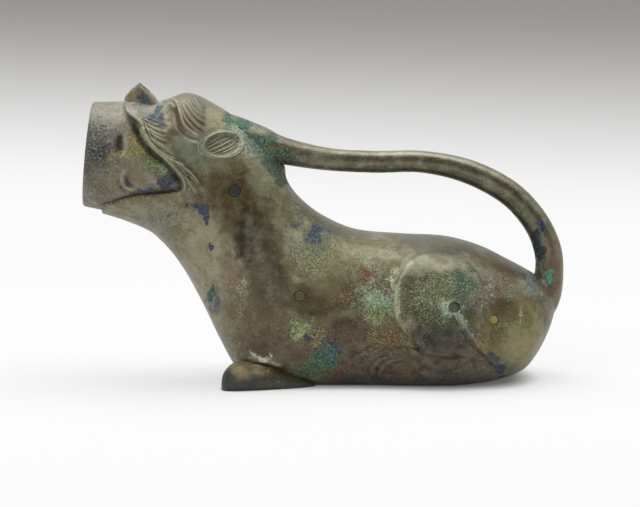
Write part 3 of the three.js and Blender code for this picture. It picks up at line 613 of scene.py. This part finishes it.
def grid_mesh(name, points):
    """A closed mesh through a grid of points in mm, whose rows are rings. Where the last ring repeats
    the first, the mesh closes there. Elsewhere a fan closes each end."""
    rings, count = points.shape[:2]
    ends = [points[0].mean(axis=0), points[-1].mean(axis=0)]
    closes = np.allclose(points[0], points[-1])
    places = np.concatenate([points.reshape(-1, 3), ends]) * MM
    faces = []
    for i in range(rings - 1):
        for j in range(count):
            k = (j + 1) % count
            faces.append((i * count + j, i * count + k, (i + 1) * count + k, (i + 1) * count + j))
    for j in range(0 if closes else count):
        k = (j + 1) % count
        faces.append((rings * count, k, j))
        faces.append((rings * count + 1, (rings - 1) * count + j, (rings - 1) * count + k))
    mesh = bpy.data.meshes.new(name)
    mesh.from_pydata(places.tolist(), [], faces)
    outward = bmesh.new()
    outward.from_mesh(mesh)
    if closes:
        bmesh.ops.remove_doubles(outward, verts=outward.verts, dist=1e-7)
        bmesh.ops.delete(outward, geom=[v for v in outward.verts if not v.link_faces], context="VERTS")
    bmesh.ops.recalc_face_normals(outward, faces=outward.faces)
    outward.to_mesh(mesh)
    outward.free()
    return mesh


# The relief: each stroke is a line on the flank, given as x and z in mm, with a width and a height.


def distance_to(x, z, line):
    """Distance from each x, z to a line through points, how far along it the nearest point is, and 1 to
    the left of its direction or -1 to the right."""
    best, along, side = np.full(x.shape, 1e9), np.zeros(x.shape), np.zeros(x.shape)
    line = np.array(line, float)
    lengths = np.linalg.norm(np.diff(line, axis=0), axis=1)
    total, start = lengths.sum(), 0.0
    for (ax, az), (dx, dz), length in zip(line, np.diff(line, axis=0), lengths):
        share = np.clip(((x - ax) * dx + (z - az) * dz) / length**2, 0, 1)
        gap = np.hypot(x - ax - share * dx, z - az - share * dz)
        nearer = gap < best
        best = np.where(nearer, gap, best)
        along = np.where(nearer, (start + share * length) / total, along)
        side = np.where(nearer, np.sign(dx * (z - az) - dz * (x - ax)), side)
        start += length
    return best, along, side


def curve_through(points, steps=6):
    """A smooth line through a few points."""
    p = np.array(points, float)
    out = []
    for i in range(len(p) - 1):
        a, b, d, e = p[max(i - 1, 0)], p[i], p[i + 1], p[min(i + 2, len(p) - 1)]
        for f in np.arange(steps) / steps:
            out.append(b + 0.5 * f * (d - a + f * (2 * a - 5 * b + 4 * d - e + f * (3 * (b - d) + e - a))))
    return np.array(out + [p[-1]])


def stroke(x, z, points, width, height, taper=True):
    """Height of a rounded ridge, or of a groove where height is below zero."""
    gap, along, _ = distance_to(x, z, curve_through(points))
    end = np.clip(np.minimum(along, 1 - along) * 7, 0, 1) ** 0.5 if taper else 1
    return height * end * np.exp(-((gap / width) ** 2))


def step(x, z, points, height, width, fade):
    """A carved edge: the form stands proud on the left of the line and falls off over width on its
    right, and the height fades out over a distance on the left."""
    gap, along, side = distance_to(x, z, curve_through(points))
    gap = gap * side
    ends = np.clip(np.minimum(along, 1 - along) * 6, 0, 1)
    edge = height * ends / (1 + np.exp(-gap / width * 4))
    return edge * np.exp(-((np.clip(gap, 0, None) / fade) ** 2))


def trace(made, lines):
    """Draws lines of x and z on a piece, each with a width in mm and a strength: above zero a pale line of
    wear and painted highlight, and below zero a dark line of dirt and painted shade."""
    x, _, z = points_in_mm(made).T
    lay(made, "drawn", sum(stroke(x, z, line, width, strength) for width, strength, line in lines))


UPPER_LIP = [
    (-98.7, 139.3), (-96.3, 134.6), (-91.5, 131.2), (-89.8, 126), (-86.4, 120.3), (-78.6, 113.2),
    (-71.4, 105.5), (-69, 101.3), (-69.4, 97.6),
]
LOWER_LIP = [(-71.8, 96.4), (-82, 95.2), (-94, 93.8), (-104.7, 90.6), (-110, 88.5)]
EAR_OUTLINE = [
    (-59.4, 117.4), (-58.2, 121.4), (-55.2, 123.8), (-51.4, 124.9), (-47.5, 124.9), (-43.6, 123.6),
    (-41, 121), (-40.2, 118), (-41.8, 115.2), (-45.4, 113.5), (-49.8, 113.2), (-54.6, 114.2),
]
# Hair: half width in mm and a line of x and z. The whiskers fan from the upper lip to the cheek
# between five guides.
WHISKERS = 19
WHISKER_GUIDES = np.array(
    [
        [(-92.3, 135.2), (-89.5, 133.6), (-87, 132.5), (-82.4, 130.8), (-77.5, 129.4)],
        [(-91.5, 130.6), (-88.5, 127.4), (-84.1, 123.8), (-80, 121.5), (-75.5, 120)],
        [(-85.5, 122), (-82.2, 118.2), (-76.3, 114), (-72, 112), (-67.5, 110.6)],
        [(-76.5, 113.2), (-71.5, 109.6), (-67, 107.6), (-63.2, 104.6), (-60.2, 100.4)],
        [(-69, 105.6), (-66.6, 101.6), (-64.8, 98.4), (-62.8, 95.4), (-61.3, 92.6)],
    ]
)
random = np.random.default_rng(7)
whisker_lines = []
for share in np.linspace(0, len(WHISKER_GUIDES) - 1, WHISKERS):
    i = min(int(share), len(WHISKER_GUIDES) - 2)
    line = WHISKER_GUIDES[i] * (1 - share + i) + WHISKER_GUIDES[i + 1] * (share - i)
    line = line + random.uniform(-0.35, 0.35, (1, 2))
    line[-1] += (line[-1] - line[-2]) * random.uniform(-0.3, 0.6)
    whisker_lines.append((random.uniform(0.32, 0.5), line))
mane_lines = [
    (0.4, [(-64.2, 141), (-62, 138.5), (-58.8, 136)]),
    (0.45, [(-65.8, 140.6), (-62.7, 137.8), (-59, 134.2)]),
    (0.45, [(-67.2, 140.8), (-64.5, 137), (-61.5, 134), (-58.4, 131.6)]),
    (0.45, [(-68.5, 140.4), (-66, 136.6), (-62.6, 132.6), (-58.4, 129)]),
    (0.5, [(-69.7, 139.6), (-68.2, 136), (-65, 131.6), (-61.3, 128), (-58, 125.6)]),
    (0.4, [(-70, 137.2), (-68.8, 133.6), (-66.5, 130), (-63, 126.4), (-60, 124)]),
]
brow_lines = [
    (0.7, [(-81.6, 135), (-81, 137.8), (-79, 139.8), (-75.5, 140.4), (-73, 139.4), (-72, 137)]),
    (0.45, [(-79.8, 135), (-78.4, 137.6), (-76, 138.4), (-74, 137.4), (-74.4, 135.6)]),
    (0.7, [(-72.6, 138.6), (-70.8, 134.9), (-68.9, 129.6), (-64.6, 125.4), (-59.6, 123)]),
]
THIGH_EDGE = [
    (46, 21.5), (42, 25), (37, 32), (35, 40.5), (35.3, 49),
    (38.3, 58), (44, 63), (52, 64.5), (60.5, 64), (68, 61),
]
SHANK_EDGE = [(59, 41.5), (63.5, 37.5), (68, 30.5), (73.5, 23), (80, 16), (84.5, 10)]
FOOT_EDGE = [(42, 25.5), (45, 21.5), (49, 18.8), (57.5, 17.5), (66, 17.5)]
NAPE_LINE = [(-43, 121.9), (-33, 118.4), (-20.5, 114), (-9, 111.6)]
# width, height and line of each ridge and groove
CARVED_LINES = [(0.7, half_width, line) for half_width, line in whisker_lines + mane_lines + brow_lines]
CARVED_LINES += [
    (0.8, -1.2, [(x + 3.1, z + 1) for x, z in UPPER_LIP[2:]]),  # the seam behind the lip's bead
    (1.1, -1, [(-73.6, 137), (-72.5, 132.5), (-70.4, 127.6), (-66, 123.6), (-61, 121.6)]),  # eye to ear
    (4, -1.3, [(-40, 86), (-38.5, 74), (-37.5, 62)]),  # hollow between neck and shoulder
    (1.3, -1.1, FOOT_EDGE),
    (1.6, 1.6, [(-44, 13.2), (-38, 14), (-30.5, 13.8), (-25, 12.6), (-20, 11)]),  # over the forepaw
]
for toe in range(3):
    x = 21.3 + 3.8 * toe
    cleft = [(x, 5.5), (x + 1.2, 11.8 - toe), (x + 5, 16.2 - 1.6 * toe), (x + 11, 18 - 2 * toe)]
    CARVED_LINES.append((0.9, -1, cleft))
# x and z of the middle, reach along x and z, and depth
DENTS = [
    (-76.5, 132.5, 4.5, 5, 1.4),  # the eye's socket
    (53, 30.5, 11, 7, 2.4),  # hollow under the thigh
]
EAR_MIDDLE = (-49.8, 119.2)
EAR_REACH = (9.4, 5.6)
EAR_LEAN = 0.06
EAR_RIM, EAR_DEPTH = 0.7, 1.7
NAPE_RISE, NAPE_HALF_WIDTH, NAPE_FADE = 2.2, 8.5, 3


def on_flanks(y):
    """0 at the plane of symmetry, and 1 on both flanks."""
    return np.clip((np.abs(y) - 5) / 6, 0, 1)


def relief(points):
    """Height of the carving over the plain skin, for each point."""
    x, y, z = points[..., 0], points[..., 1], points[..., 2]
    height = stroke(x, z, LOWER_LIP, 1.5, -1.3, False)
    for width, rise, line in CARVED_LINES:
        height = height + stroke(x, z, line, width, rise)
    for middle_x, middle_z, reach_x, reach_z, depth in DENTS:
        gap = ((x - middle_x) / reach_x) ** 2 + ((z - middle_z) / reach_z) ** 2
        height = height - depth * np.exp(-gap)
    # the ear is a hollow in a leaf-shaped swelling
    across, up = x - EAR_MIDDLE[0], z - EAR_MIDDLE[1]
    leaf = np.hypot(across / EAR_REACH[0], (up - EAR_LEAN * across) / EAR_REACH[1])
    height = height + EAR_RIM * np.exp(-(((leaf - 1.02) / 0.12) ** 2))
    height = height - EAR_DEPTH / (1 + np.exp((leaf - 0.86) / 0.05))
    # thigh, shank and foot overlap like carved petals
    height = height + step(x, z, THIGH_EDGE[::-1], 3.0, 1.8, 13)
    height = height + step(x, z, SHANK_EDGE, 3.4, 1.4, 11)
    height = height * on_flanks(y)
    # the nape rises to the tail
    gap, along, _ = distance_to(x, z, NAPE_LINE)
    away = np.clip(np.hypot(gap, y) - NAPE_HALF_WIDTH, 0, None)
    nape = NAPE_RISE * np.sin(pi * along) ** 0.5 * np.exp(-((away / NAPE_FADE) ** 2))
    return height + nape * (np.abs(x + 28) < 30)


BODY_RINGS = 350
BODY_POINTS = 248


def crowded_angles(count):
    """Angles round a section, closest together on the flanks and furthest apart under the belly."""
    fine = np.linspace(0, pi, 400)
    density = np.interp(fine, np.radians([0, 20, 35, 115, 135, 180]), [0.9, 0.9, 1.8, 1.8, 0.5, 0.45])
    share = np.concatenate([[0], np.cumsum((density[1:] + density[:-1]) / 2)])
    half = np.interp(np.linspace(0, share[-1], count // 2 + 1), share, fine)
    return np.concatenate([half, -half[-2:0:-1]])


plain = body_points(even_places(BODY_RINGS), crowded_angles(BODY_POINTS))
along_body = np.gradient(plain, axis=0)
round_body = np.roll(plain, -1, axis=1) - np.roll(plain, 1, axis=1)
normals = np.cross(round_body, along_body)
normals /= np.maximum(np.linalg.norm(normals, axis=2, keepdims=True), 1e-9)
if (normals[:, BODY_POINTS // 4, 1] * plain[:, BODY_POINTS // 4, 1]).sum() < 0:
    normals = -normals
skin_points = plain + normals * relief(plain)[..., None]
skin_points[..., 2] = np.maximum(skin_points[..., 2], 0)


def full_turn(count):
    return np.arange(count) / count * 2 * pi


def rounded_square(turn, power):
    """The cosine and sine of each angle, drawn out to corners where the power is below 1."""
    return (np.sign(v) * np.abs(v) ** power for v in (np.cos(turn), np.sin(turn)))


def turned(name, profile, count):
    """A mesh turned round the tube's axis: the profile is a closed line of radius and distance from the
    rim."""
    rows = []
    turn = full_turn(count)
    for radius, s in profile:
        x, z = on_tube(s, 0)
        up = np.cos(turn) * radius
        rows.append(np.stack([x + UPWARD[0] * up, np.sin(turn) * radius, z + UPWARD[1] * up], axis=1))
    return grid_mesh(name, np.array(rows))


def prism(name, outline, half_width):
    """A closed prism across the plane of symmetry."""
    count = len(outline)
    places = [at(x, side * half_width, z) for side in (-1, 1) for x, z in outline]
    faces = [list(range(count)), [count + i for i in reversed(range(count))]]
    for i in range(count):
        j = (i + 1) % count
        faces.append([i, i + count, j + count, j])
    mesh = bpy.data.meshes.new(name)
    mesh.from_pydata(places, [], faces)
    made = bmesh.new()
    made.from_mesh(mesh)
    bmesh.ops.triangulate(made, faces=made.faces[:])
    bmesh.ops.recalc_face_normals(made, faces=made.faces)
    made.to_mesh(mesh)
    made.free()
    return mesh


def apply_modifiers(made):
    mesh = bpy.data.meshes.new_from_object(made.evaluated_get(bpy.context.evaluated_depsgraph_get()))
    made.modifiers.clear()
    made.data = mesh


def carve(target, mesh, operation="DIFFERENCE"):
    cutter = new_object("cutter", mesh)
    boolean = target.modifiers.new("cut", "BOOLEAN")
    boolean.operation, boolean.solver, boolean.object = operation, "MANIFOLD", cutter
    apply_modifiers(target)
    bpy.data.objects.remove(cutter)


def set_material(made, material):
    made.data.materials.clear()
    made.data.materials.append(material)


vessel = new_object("vessel", grid_mesh("vessel", skin_points))
# the turned-up nose: a leaf seen from the side, and two nostril flares with a valley between them
SNOUT_FRONT_X, SNOUT_TIP_X, SNOUT_BACK_X = -99.6, -91.8, -82.6
SNOUT_LOW = on_tube(20, tube_outside(20) + LIP)[1] - 3
SNOUT_RISE = 10
SNOUT_HALF_WIDTH = 9.5
VALLEY_HALF_WIDTH, VALLEY_DEPTH = 4.2, 6
turn = full_turn(128)
ahead, aside = rounded_square(turn, 0.5)
rows = []
for up in np.linspace(0, 1, 44):
    front = SNOUT_TIP_X + (SNOUT_FRONT_X - SNOUT_TIP_X) * (1 - up**1.9) - 0.3
    back = SNOUT_TIP_X + (SNOUT_BACK_X - SNOUT_TIP_X) * (1 - up**1.5) + 0.3
    x = (front + back) / 2 + ahead * (back - front) / 2
    y = aside * SNOUT_HALF_WIDTH * (1 - 0.25 * up)
    rows.append(np.stack([x, y, np.full(turn.shape, SNOUT_LOW + SNOUT_RISE * up)], axis=1))
snout = new_object("snout", grid_mesh("snout", np.array(rows)))
y = VALLEY_HALF_WIDTH * np.cos(turn)
z = SNOUT_LOW + SNOUT_RISE + 0.6 + VALLEY_DEPTH * np.sin(turn)
rows = [np.stack([np.full(turn.shape, x), y, z], axis=1) for x in (-130, -60)]
carve(snout, grid_mesh("valley", np.array(rows)))
carve(vessel, snout.data, "UNION")
bpy.data.objects.remove(snout)
HOLLOW_START, HOLLOW_END = 0.09, 0.74
core = body_points(np.linspace(HOLLOW_START, HOLLOW_END, 90), full_turn(72), WALL)
core[..., 2] = np.maximum(core[..., 2], WALL)
core_mesh = grid_mesh("core", core)
carve(vessel, core_mesh)
gap_line = [*curve_through(UPPER_LIP, 8), *curve_through(LOWER_LIP, 8)]
gap_outline = [(-150, 150), (UPPER_LIP[0][0], 150), *gap_line, (-111, 60), (-150, 60)]
carve(vessel, prism("jaw_gap", gap_outline, 50))
socket_profile = [
    (0.01, -12),
    (RIM_RADIUS + SEAM, -12),
    (RIM_RADIUS + SEAM, 0),
    (WIDEST_RADIUS + SEAM, WIDEST),
    (END_RADIUS + SEAM, TUBE_LENGTH + SEAM),
    (THROAT_RADIUS, TUBE_LENGTH + SEAM),
    (THROAT_RADIUS, TUBE_LENGTH + 16),
    (0.01, TUBE_LENGTH + 16),
]
socket_mesh = turned("socket", socket_profile, 128)
carve(vessel, socket_mesh)
# the core spacers sit in holes through the wall, with a thin seam round them
SPACERS = [(-44, 97, 2.9), (-12, 47, 2.6), (63, 41.5, 2.5), (82.6, 35, 2.2)]  # x, z and radius
HOLE_IN, HOLE_OUT = 7, 5  # how far a hole reaches from the skin
turn = full_turn(40)[:, None]
for x, z, radius in SPACERS:
    distance = np.hypot(plain[..., 0] - x, plain[..., 2] - z) + 1000 * (plain[..., 1] > 0)
    nearest = np.unravel_index(np.argmin(distance), distance.shape)
    out = normals[nearest]
    along = np.cross(out, [0, 0, 1])
    along /= np.linalg.norm(along)
    centre = np.array([x, plain[nearest][1], z])
    ring = centre + (radius + SEAM) * (np.cos(turn) * along + np.sin(turn) * np.cross(out, along))
    hole = np.array([ring - HOLE_IN * out, ring + HOLE_OUT * out])
    carve(vessel, grid_mesh("hole", hole))
    carve(vessel, grid_mesh("hole", hole * [1, -1, 1]))
set_material(vessel, body_bronze)
paint(vessel, *body_patches)
# width, strength and line of what is drawn on the skin: dark lines of painted shade and pale lines of
# painted highlight, as marked
# painted shade on the skin among the whiskers and between the mane's cords
drawn_lines = [(2.2, -0.45, guide) for guide in WHISKER_GUIDES.tolist()]
drawn_lines += [(1.4, -0.25, line) for _, line in mane_lines]
drawn_lines += [
    # pale crust and a painted highlight along the thigh's rim, and painted shade under the rim, beside the
    # shank and in the foot's crease
    (0.8, 0.6, [(x - 0.6, z) for x, z in THIGH_EDGE[2:7]]),
    (1.3, -0.4, [(x + 1.8, z) for x, z in THIGH_EDGE[:3]]),
    (1.4, -0.35, [(x - 1, z - 0.6) for x, z in SHANK_EDGE[1:5]]),
    (1.0, -0.25, FOOT_EDGE),
    # painted shade in the ear's hollow, and painted highlights on the pale ridge over the forepaw
    (3.2, -0.4, [(-57, 117.6), (-44, 120.4)]),  # the ear's hollow
    (0.6, 0.5, [(-38, 15), (-33, 14.6), (-27.5, 13.6), (-21, 11.8)]),  # over the forepaw
    (0.6, 0.3, [(-37.5, 11.8), (-33, 12.9), (-29, 13.6)]),
    # painted shade under the lower lip, between neck and shoulder, and along the sole where the flank
    # turns under, and a painted highlight on the upper lip's bead
    (0.9, -0.8, LOWER_LIP),
    (2.2, -0.5, [(-39, 89), (-40.4, 80), (-41, 72), (-40, 64)]),  # between neck and shoulder
    (1.4, -0.9, [(-24, 0), (20, 0), (64, 0), (80, 0.6), (92, 2.2), (99, 4.4)]),  # along the sole
    (1.4, 0.3, [(x + 0.8, z + 0.5) for x, z in UPPER_LIP[1:]]),
]
trace(vessel, drawn_lines)
vessel.data.shade_smooth()
vessel.data.set_sharp_from_angle(angle=radians(40))
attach(vessel, "root")
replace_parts(vessel, "vessel_body")


# Hair and veins
# The whiskers, the mane between brow and ear, the ear's rim and veins and the beads of the lips are
# strands that follow the skin. One node tree makes them all: it turns lines that lie on the skin into
# tapered cords, which are half sunk in it.

STRAND_SPACING = 0.5  # mm between two rings of a strand
POINTED_END = 0.25  # share of its thickness that is left at its ends
STRAND_WEAR_AND_HIGHLIGHT = 0.25


def strand_tree():
    """The tree, and the identifiers of its inputs by name."""
    tree = bpy.data.node_groups.new("strands", "GeometryNodeTree")
    kinds = {"Lines": "Geometry", "Spacing": "Float", "Taper": "Float", "Finish": "Material"}
    inputs = {}
    for name, kind in kinds.items():
        made = tree.interface.new_socket(name, in_out="INPUT", socket_type="NodeSocket" + kind)
        inputs[name] = made.identifier
    tree.interface.new_socket("Strands", in_out="OUTPUT", socket_type="NodeSocketGeometry")
    given = tree.nodes.new("NodeGroupInput").outputs
    curve = node(tree, "GeometryNodeMeshToCurve", Mesh=given["Lines"])
    even = node(tree, "GeometryNodeResampleCurve", mode="LENGTH", Curve=curve, Length=given["Spacing"])
    along = node(tree, "GeometryNodeSplineParameter").outputs["Factor"]
    near_end = calculate("MINIMUM", along, calculate("SUBTRACT", 1.0, along))
    tapered = ramp(near_end, 0, given["Taper"], POINTED_END)
    size = node(tree, "GeometryNodeInputNamedAttribute", data_type="FLOAT", Name="thickness").outputs[0]
    scale = calculate("MULTIPLY", tapered, size)
    ring = node(tree, "GeometryNodeCurvePrimitiveCircle", Resolution=8, Radius=1.0)
    drawn_out = {"Curve": even, "Profile_Curve": ring, "Scale": scale, "Fill_Caps": True}
    cord = node(tree, "GeometryNodeCurveToMesh", **drawn_out)
    smooth = node(tree, "GeometryNodeSetShadeSmooth", Geometry=cord)
    real = node(tree, "GeometryNodeRealizeInstances", Geometry=smooth)
    painted = node(tree, "GeometryNodeSetMaterial", Geometry=real, Material=given["Finish"])
    node(tree, "NodeGroupOutput", Strands=painted)
    return tree, inputs


STRANDS, STRAND_INPUTS = strand_tree()


def on_skin(x, z, sink):
    """The point of the near flank's skin at x, z in mm, sunk below it."""
    hit, place, normal, _ = vessel.ray_cast(at(x, -70, z), Vector((0, 1, 0)))
    return place - normal * sink * MM if hit else None


def strands(name, lines, taper=0.2, sink=0.35):
    """Cords along lines of x and z, each with its half width in mm, on both flanks. taper is the share
    of a cord that narrows at each end, and sink the share of its half width that lies in the skin."""
    points, edges, sizes = [], [], []
    for half_width, line in lines:
        near = [on_skin(x, z, sink * half_width) for x, z in curve_through(line, 8)]
        near = [p for p in near if p is not None]
        for side in (1, -1):
            start = len(points)
            points += [(p.x, p.y * side, p.z) for p in near]
            edges += [(start + i, start + i + 1) for i in range(len(near) - 1)]
            sizes += [half_width * MM] * len(near)
    mesh = bpy.data.meshes.new(name)
    mesh.from_pydata(points, edges, [])
    made = new_object(name, mesh)
    lay(made, "thickness", sizes)
    grown = made.modifiers.new("strands", "NODES")
    grown.node_group = STRANDS
    grown[STRAND_INPUTS["Spacing"]] = STRAND_SPACING * MM
    grown[STRAND_INPUTS["Taper"]] = taper
    grown[STRAND_INPUTS["Finish"]] = body_bronze
    apply_modifiers(made)
    paint(made, *body_patches)
    # the cords are drawn paler than the skin: wear and a painted highlight on the raised cords
    lay(made, "drawn", np.full(len(made.data.vertices), STRAND_WEAR_AND_HIGHLIGHT))
    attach(made, "root")


strands("whiskers", whisker_lines, taper=0.3, sink=0.6)

strands("mane", mane_lines + brow_lines, sink=0.6)

ear_rim = [(0.5, [*EAR_OUTLINE, EAR_OUTLINE[0]])]
ear_curl = [(0.45, [(-59.6, 122), (-61.4, 119.4), (-61.2, 116.4), (-59, 114.2)])]
ear_veins = [
    (0.5, [(-57.4, 115.8), (-52, 118), (-47, 120.2), (-43.2, 122)]),
    (0.45, [(-57.6, 117.6), (-53, 119.8), (-48.5, 121.6), (-45, 122.8)]),
    (0.45, [(-57, 119.6), (-54, 121.4), (-50.5, 123.2)]),
    (0.5, [(-55.4, 114.8), (-50, 116.6), (-46, 118.4), (-42.4, 120.6)]),
    (0.45, [(-52, 114.4), (-47, 116.2), (-42.6, 118.6)]),
    (0.35, [(-54.6, 118), (-53.4, 116.2)]),
    (0.35, [(-51.2, 120.2), (-49.6, 117.2)]),
    (0.35, [(-47.2, 119.8), (-45.8, 116.8)]),
]
strands("ears", ear_rim + ear_curl, taper=0.02)
strands("ear_veins", ear_veins, taper=0.3, sink=-0.2)

outer_bead = [
    (-97.6, 136.6), (-95, 134.2), (-92, 132.2), (-89, 129.4), (-87.9, 125.1), (-85.4, 120.9),
    (-81.4, 116.6), (-77.3, 113.2), (-73.6, 109.4), (-70.4, 105.4), (-68.2, 101.6), (-68.3, 97.3),
]
inner_bead = [
    (-88.3, 131), (-86.1, 126.2), (-83.7, 122), (-79.8, 118), (-75.4, 114.3), (-71.4, 110.3),
    (-68.2, 106), (-66.3, 102), (-65.8, 97.5),
]
strands("lips", [(0.85, outer_bead), (0.55, inner_bead)], taper=0.08, sink=0.2)


# The tail, which is the handle
# It grows out of the rump, arches forward over the back, and spreads on the nape, where it runs into
# the head. Its section is a rounded square, so its top catches the light along its whole length.

# x and z of the middle, height, width, and roundness: 0.82 is a rounded square, 1 an oval
TAIL = np.array(
    [
        [101, 27, 16, 20, 1],
        [108.6, 40, 18, 21, 1],
        [112.2, 52.5, 14.4, 17, 0.95],
        [111, 66, 13.6, 14.5, 0.88],
        [104, 80.3, 13, 13.4, 0.82],
        [91.4, 93.3, 12.7, 13, 0.82],
        [71.5, 103.6, 12, 12.8, 0.82],
        [48.7, 108.5, 10.8, 12.4, 0.82],
        [25, 108.5, 10.8, 12.4, 0.82],
        [1.7, 109.8, 11.2, 12.8, 0.85],
        [-20.5, 114, 13.5, 16, 0.92],
        [-33, 118.4, 16.5, 22, 1],
        [-45, 122.6, 17.5, 23, 1],
        [-57, 127, 16.5, 18, 1],
    ]
)
TAIL_STEPS = 24  # between two rows of the table
BAR = slice(60, 228, 12)  # the free bar of the handle, along those steps
# width, strength and height over the middle of the lines that are drawn along the bar: painted
# highlights on its top and on a ridge along its middle, and painted shade between them and along its
# underside
BAR_HIGHLIGHTS_AND_SHADE = [(1.0, 0.3, 4.2), (0.9, -0.35, 2.0), (0.8, 0.15, -0.2), (1.8, -0.6, -5)]

tail_line = curve_through(TAIL, TAIL_STEPS)
along_tail = np.gradient(tail_line[:, :2], axis=0)
along_tail /= np.linalg.norm(along_tail, axis=1, keepdims=True)
turn = (np.arange(72) + 0.5) / 72 * 2 * pi
rows = []
for (x, z, height, width, power), (dx, dz) in zip(tail_line, along_tail):
    up, out = rounded_square(turn, power)
    up = up * height / 2
    rows.append(np.stack([x + dz * up, out * width / 2, z - dx * up], axis=1))
tail = new_object("tail", grid_mesh("tail", np.array(rows)))
# its roots fill the vessel's wall and leave the hollow and the throat open
carve(tail, core_mesh)
carve(tail, socket_mesh)
set_material(tail, tail_bronze)
paint(tail, tail_tints, tail_crusts)
outward = along_tail[BAR, ::-1] * [1, -1]
trace(tail, [(width, most, tail_line[BAR, :2] + outward * up) for width, most, up in BAR_HIGHLIGHTS_AND_SHADE])
tail.data.shade_smooth()
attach(tail, "root")
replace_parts(tail, "tail_handle")


# The forepaws
# Blunt low pads beside the chest, whose front is parted into toes by shallow clefts. Each tapers back
# until it runs into the flank.

PAW_LENGTH, PAW_WIDTH, PAW_HEIGHT = 46, 21, 13.5
PAW_Y = 34
PAW_TURN = radians(10)
TOES = 4
TOE_LENGTH = 13
CLEFT_DEPTH, CLEFT_WIDTH = 1.3, 0.13
PAW_WIDEST = 0.34  # share of the height at which a section is widest
# share of the length, of the width and of the height
PAW_STATIONS = np.array(
    [
        [0, 0.12, 0.2],
        [0.015, 0.55, 0.5],
        [0.06, 0.82, 0.74],
        [0.13, 0.95, 0.92],
        [0.22, 1, 0.98],
        [0.36, 0.96, 0.88],
        [0.55, 0.84, 0.74],
        [0.75, 0.62, 0.5],
        [0.9, 0.36, 0.28],
        [0.98, 0.14, 0.12],
        [1, 0.05, 0.06],
    ]
)


def paw(name, front_x, side):
    up, out = rounded_square(full_turn(96), 0.8)
    rows = []
    for along, wide, high in curve_through(PAW_STATIONS, 10):
        across = out * wide / 2
        middle = PAW_WIDEST * PAW_HEIGHT * high
        from_cleft = (across * TOES * 1.06 + 0.5) % 1 - 0.5
        clefts = np.exp(-((from_cleft / CLEFT_WIDTH) ** 2)) * (np.abs(across) < 0.4)
        clefts = CLEFT_DEPTH * clefts * np.clip(1.2 - along * PAW_LENGTH / TOE_LENGTH, 0, 1) * (up > 0)
        reach = np.where(up > 0, PAW_HEIGHT * high - middle, middle + 1)
        z = np.maximum(middle + up * reach - clefts * up, 0)
        x = front_x + along * PAW_LENGTH + clefts * (along < 0.05)
        y = -PAW_Y + along * PAW_LENGTH * np.tan(PAW_TURN) + across * PAW_WIDTH
        rows.append(np.stack([x, y * side, z], axis=1))
    made = new_object(name, grid_mesh(name, np.array(rows)))
    set_material(made, paw_bronze)
    paint(made, paw_tints, paw_crusts, paw_tints, paw_crusts)
    made.data.shade_smooth()
    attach(made, "root")
    return made


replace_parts(paw("forepaw_pad_left", -50.6, 1), "forepaw_left")
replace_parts(paw("forepaw_pad_right", -46.4, -1), "forepaw_right")


# The mouth tube
# Its casting is rougher than the head's. A groove follows the upper lip, a lower fang stands out on
# the tube, and an upper one is cut into it.

TUBE_WALL = 3
OUTSIDE_FROM = 25.5  # radius from which the carving counts, so that it leaves the bore alone

tube_profile = [(RIM_RADIUS - TUBE_WALL, 0), (25.2, 0), (25.7, 0.25), (RIM_RADIUS, 0.9)]
tube_profile += [(tube_outside(s), s) for s in np.arange(2, TUBE_LENGTH, 0.7)]
tube_profile += [(END_RADIUS, TUBE_LENGTH), (END_RADIUS - TUBE_WALL, TUBE_LENGTH)]
tube_profile += [(WIDEST_RADIUS - TUBE_WALL, WIDEST), (RIM_RADIUS - TUBE_WALL, 0)]
tube = new_object("tube", turned("tube", tube_profile, 320))
groove_line = [(x - 1.6, z - 1.0) for x, z in UPPER_LIP[2:]]
places = points_in_mm(tube)
x, y, z = places.T
from_rim = places - [RIM[0], 0, RIM[1]]
axis = np.array([INWARD[0], 0, INWARD[1]])
away = from_rim - np.outer(from_rim @ axis, axis)
radius = np.linalg.norm(away, axis=1)
depth = stroke(x, z, groove_line, 1.5, 1.5) * on_flanks(y)
depth = depth + stroke(x, z, [(-98.5, 104), (-97, 99.5), (-93, 96.5)], 1.2, -1.2)
depth = depth + stroke(x, z, [(-100, 124), (-100.3, 120), (-99.6, 116.5)], 1.4, 1.4)
depth = depth * (radius > OUTSIDE_FROM)
places = (places - away / radius[:, None] * depth[:, None]) * MM
tube.data.vertices.foreach_set("co", places.ravel())
set_material(tube, tube_bronze)
paint(tube, tube_tints, tube_crusts)
# dark lines of dirt and painted shade in the groove under the upper lip, and of painted shade under the
# lower lip and in the upper fang's cut; a dark line inside the lower fang, and pale lines along the fangs'
# edges
drawn_lines = [
    (1.3, -0.9, groove_line),
    (1.1, -0.6, [(x, z + 0.6) for x, z in LOWER_LIP[:-1]]),
    (1.2, -0.8, [(-99.8, 125), (-100.2, 121), (-99.8, 116)]),
    (0.7, 0.5, [(-97.4, 107.5), (-99.2, 103), (-97.6, 98.6), (-92, 96.6)]),
    (0.9, -0.6, [(-95.8, 105), (-96.4, 101.5), (-93.5, 98.8)]),
    (0.8, 0.4, [(-97.4, 125.5), (-97, 120), (-97.8, 115.5), (-100.5, 113.5)]),
]
trace(tube, drawn_lines)
tube.data.shade_smooth()
tube.data.set_sharp_from_angle(angle=radians(40))
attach(tube, "root")
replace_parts(tube, "mouth_tube")


# The core spacers
# Small bronze pieces, cast into the wall, that held the clay core off the mould. They keep the form of
# the solid part, and each pair has the colour that its own metal has taken on.

spacer_bronzes = {
    "neck": neck_spacer_bronze,
    "shoulder": brown_spacer_bronze,
    "haunch": pale_spacer_bronze,
    "rump": yellow_spacer_bronze,
}
for place, bronze in spacer_bronzes.items():
    for side in ("left", "right"):
        set_material(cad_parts[f"core_spacer_{place}_{side}"], bronze)
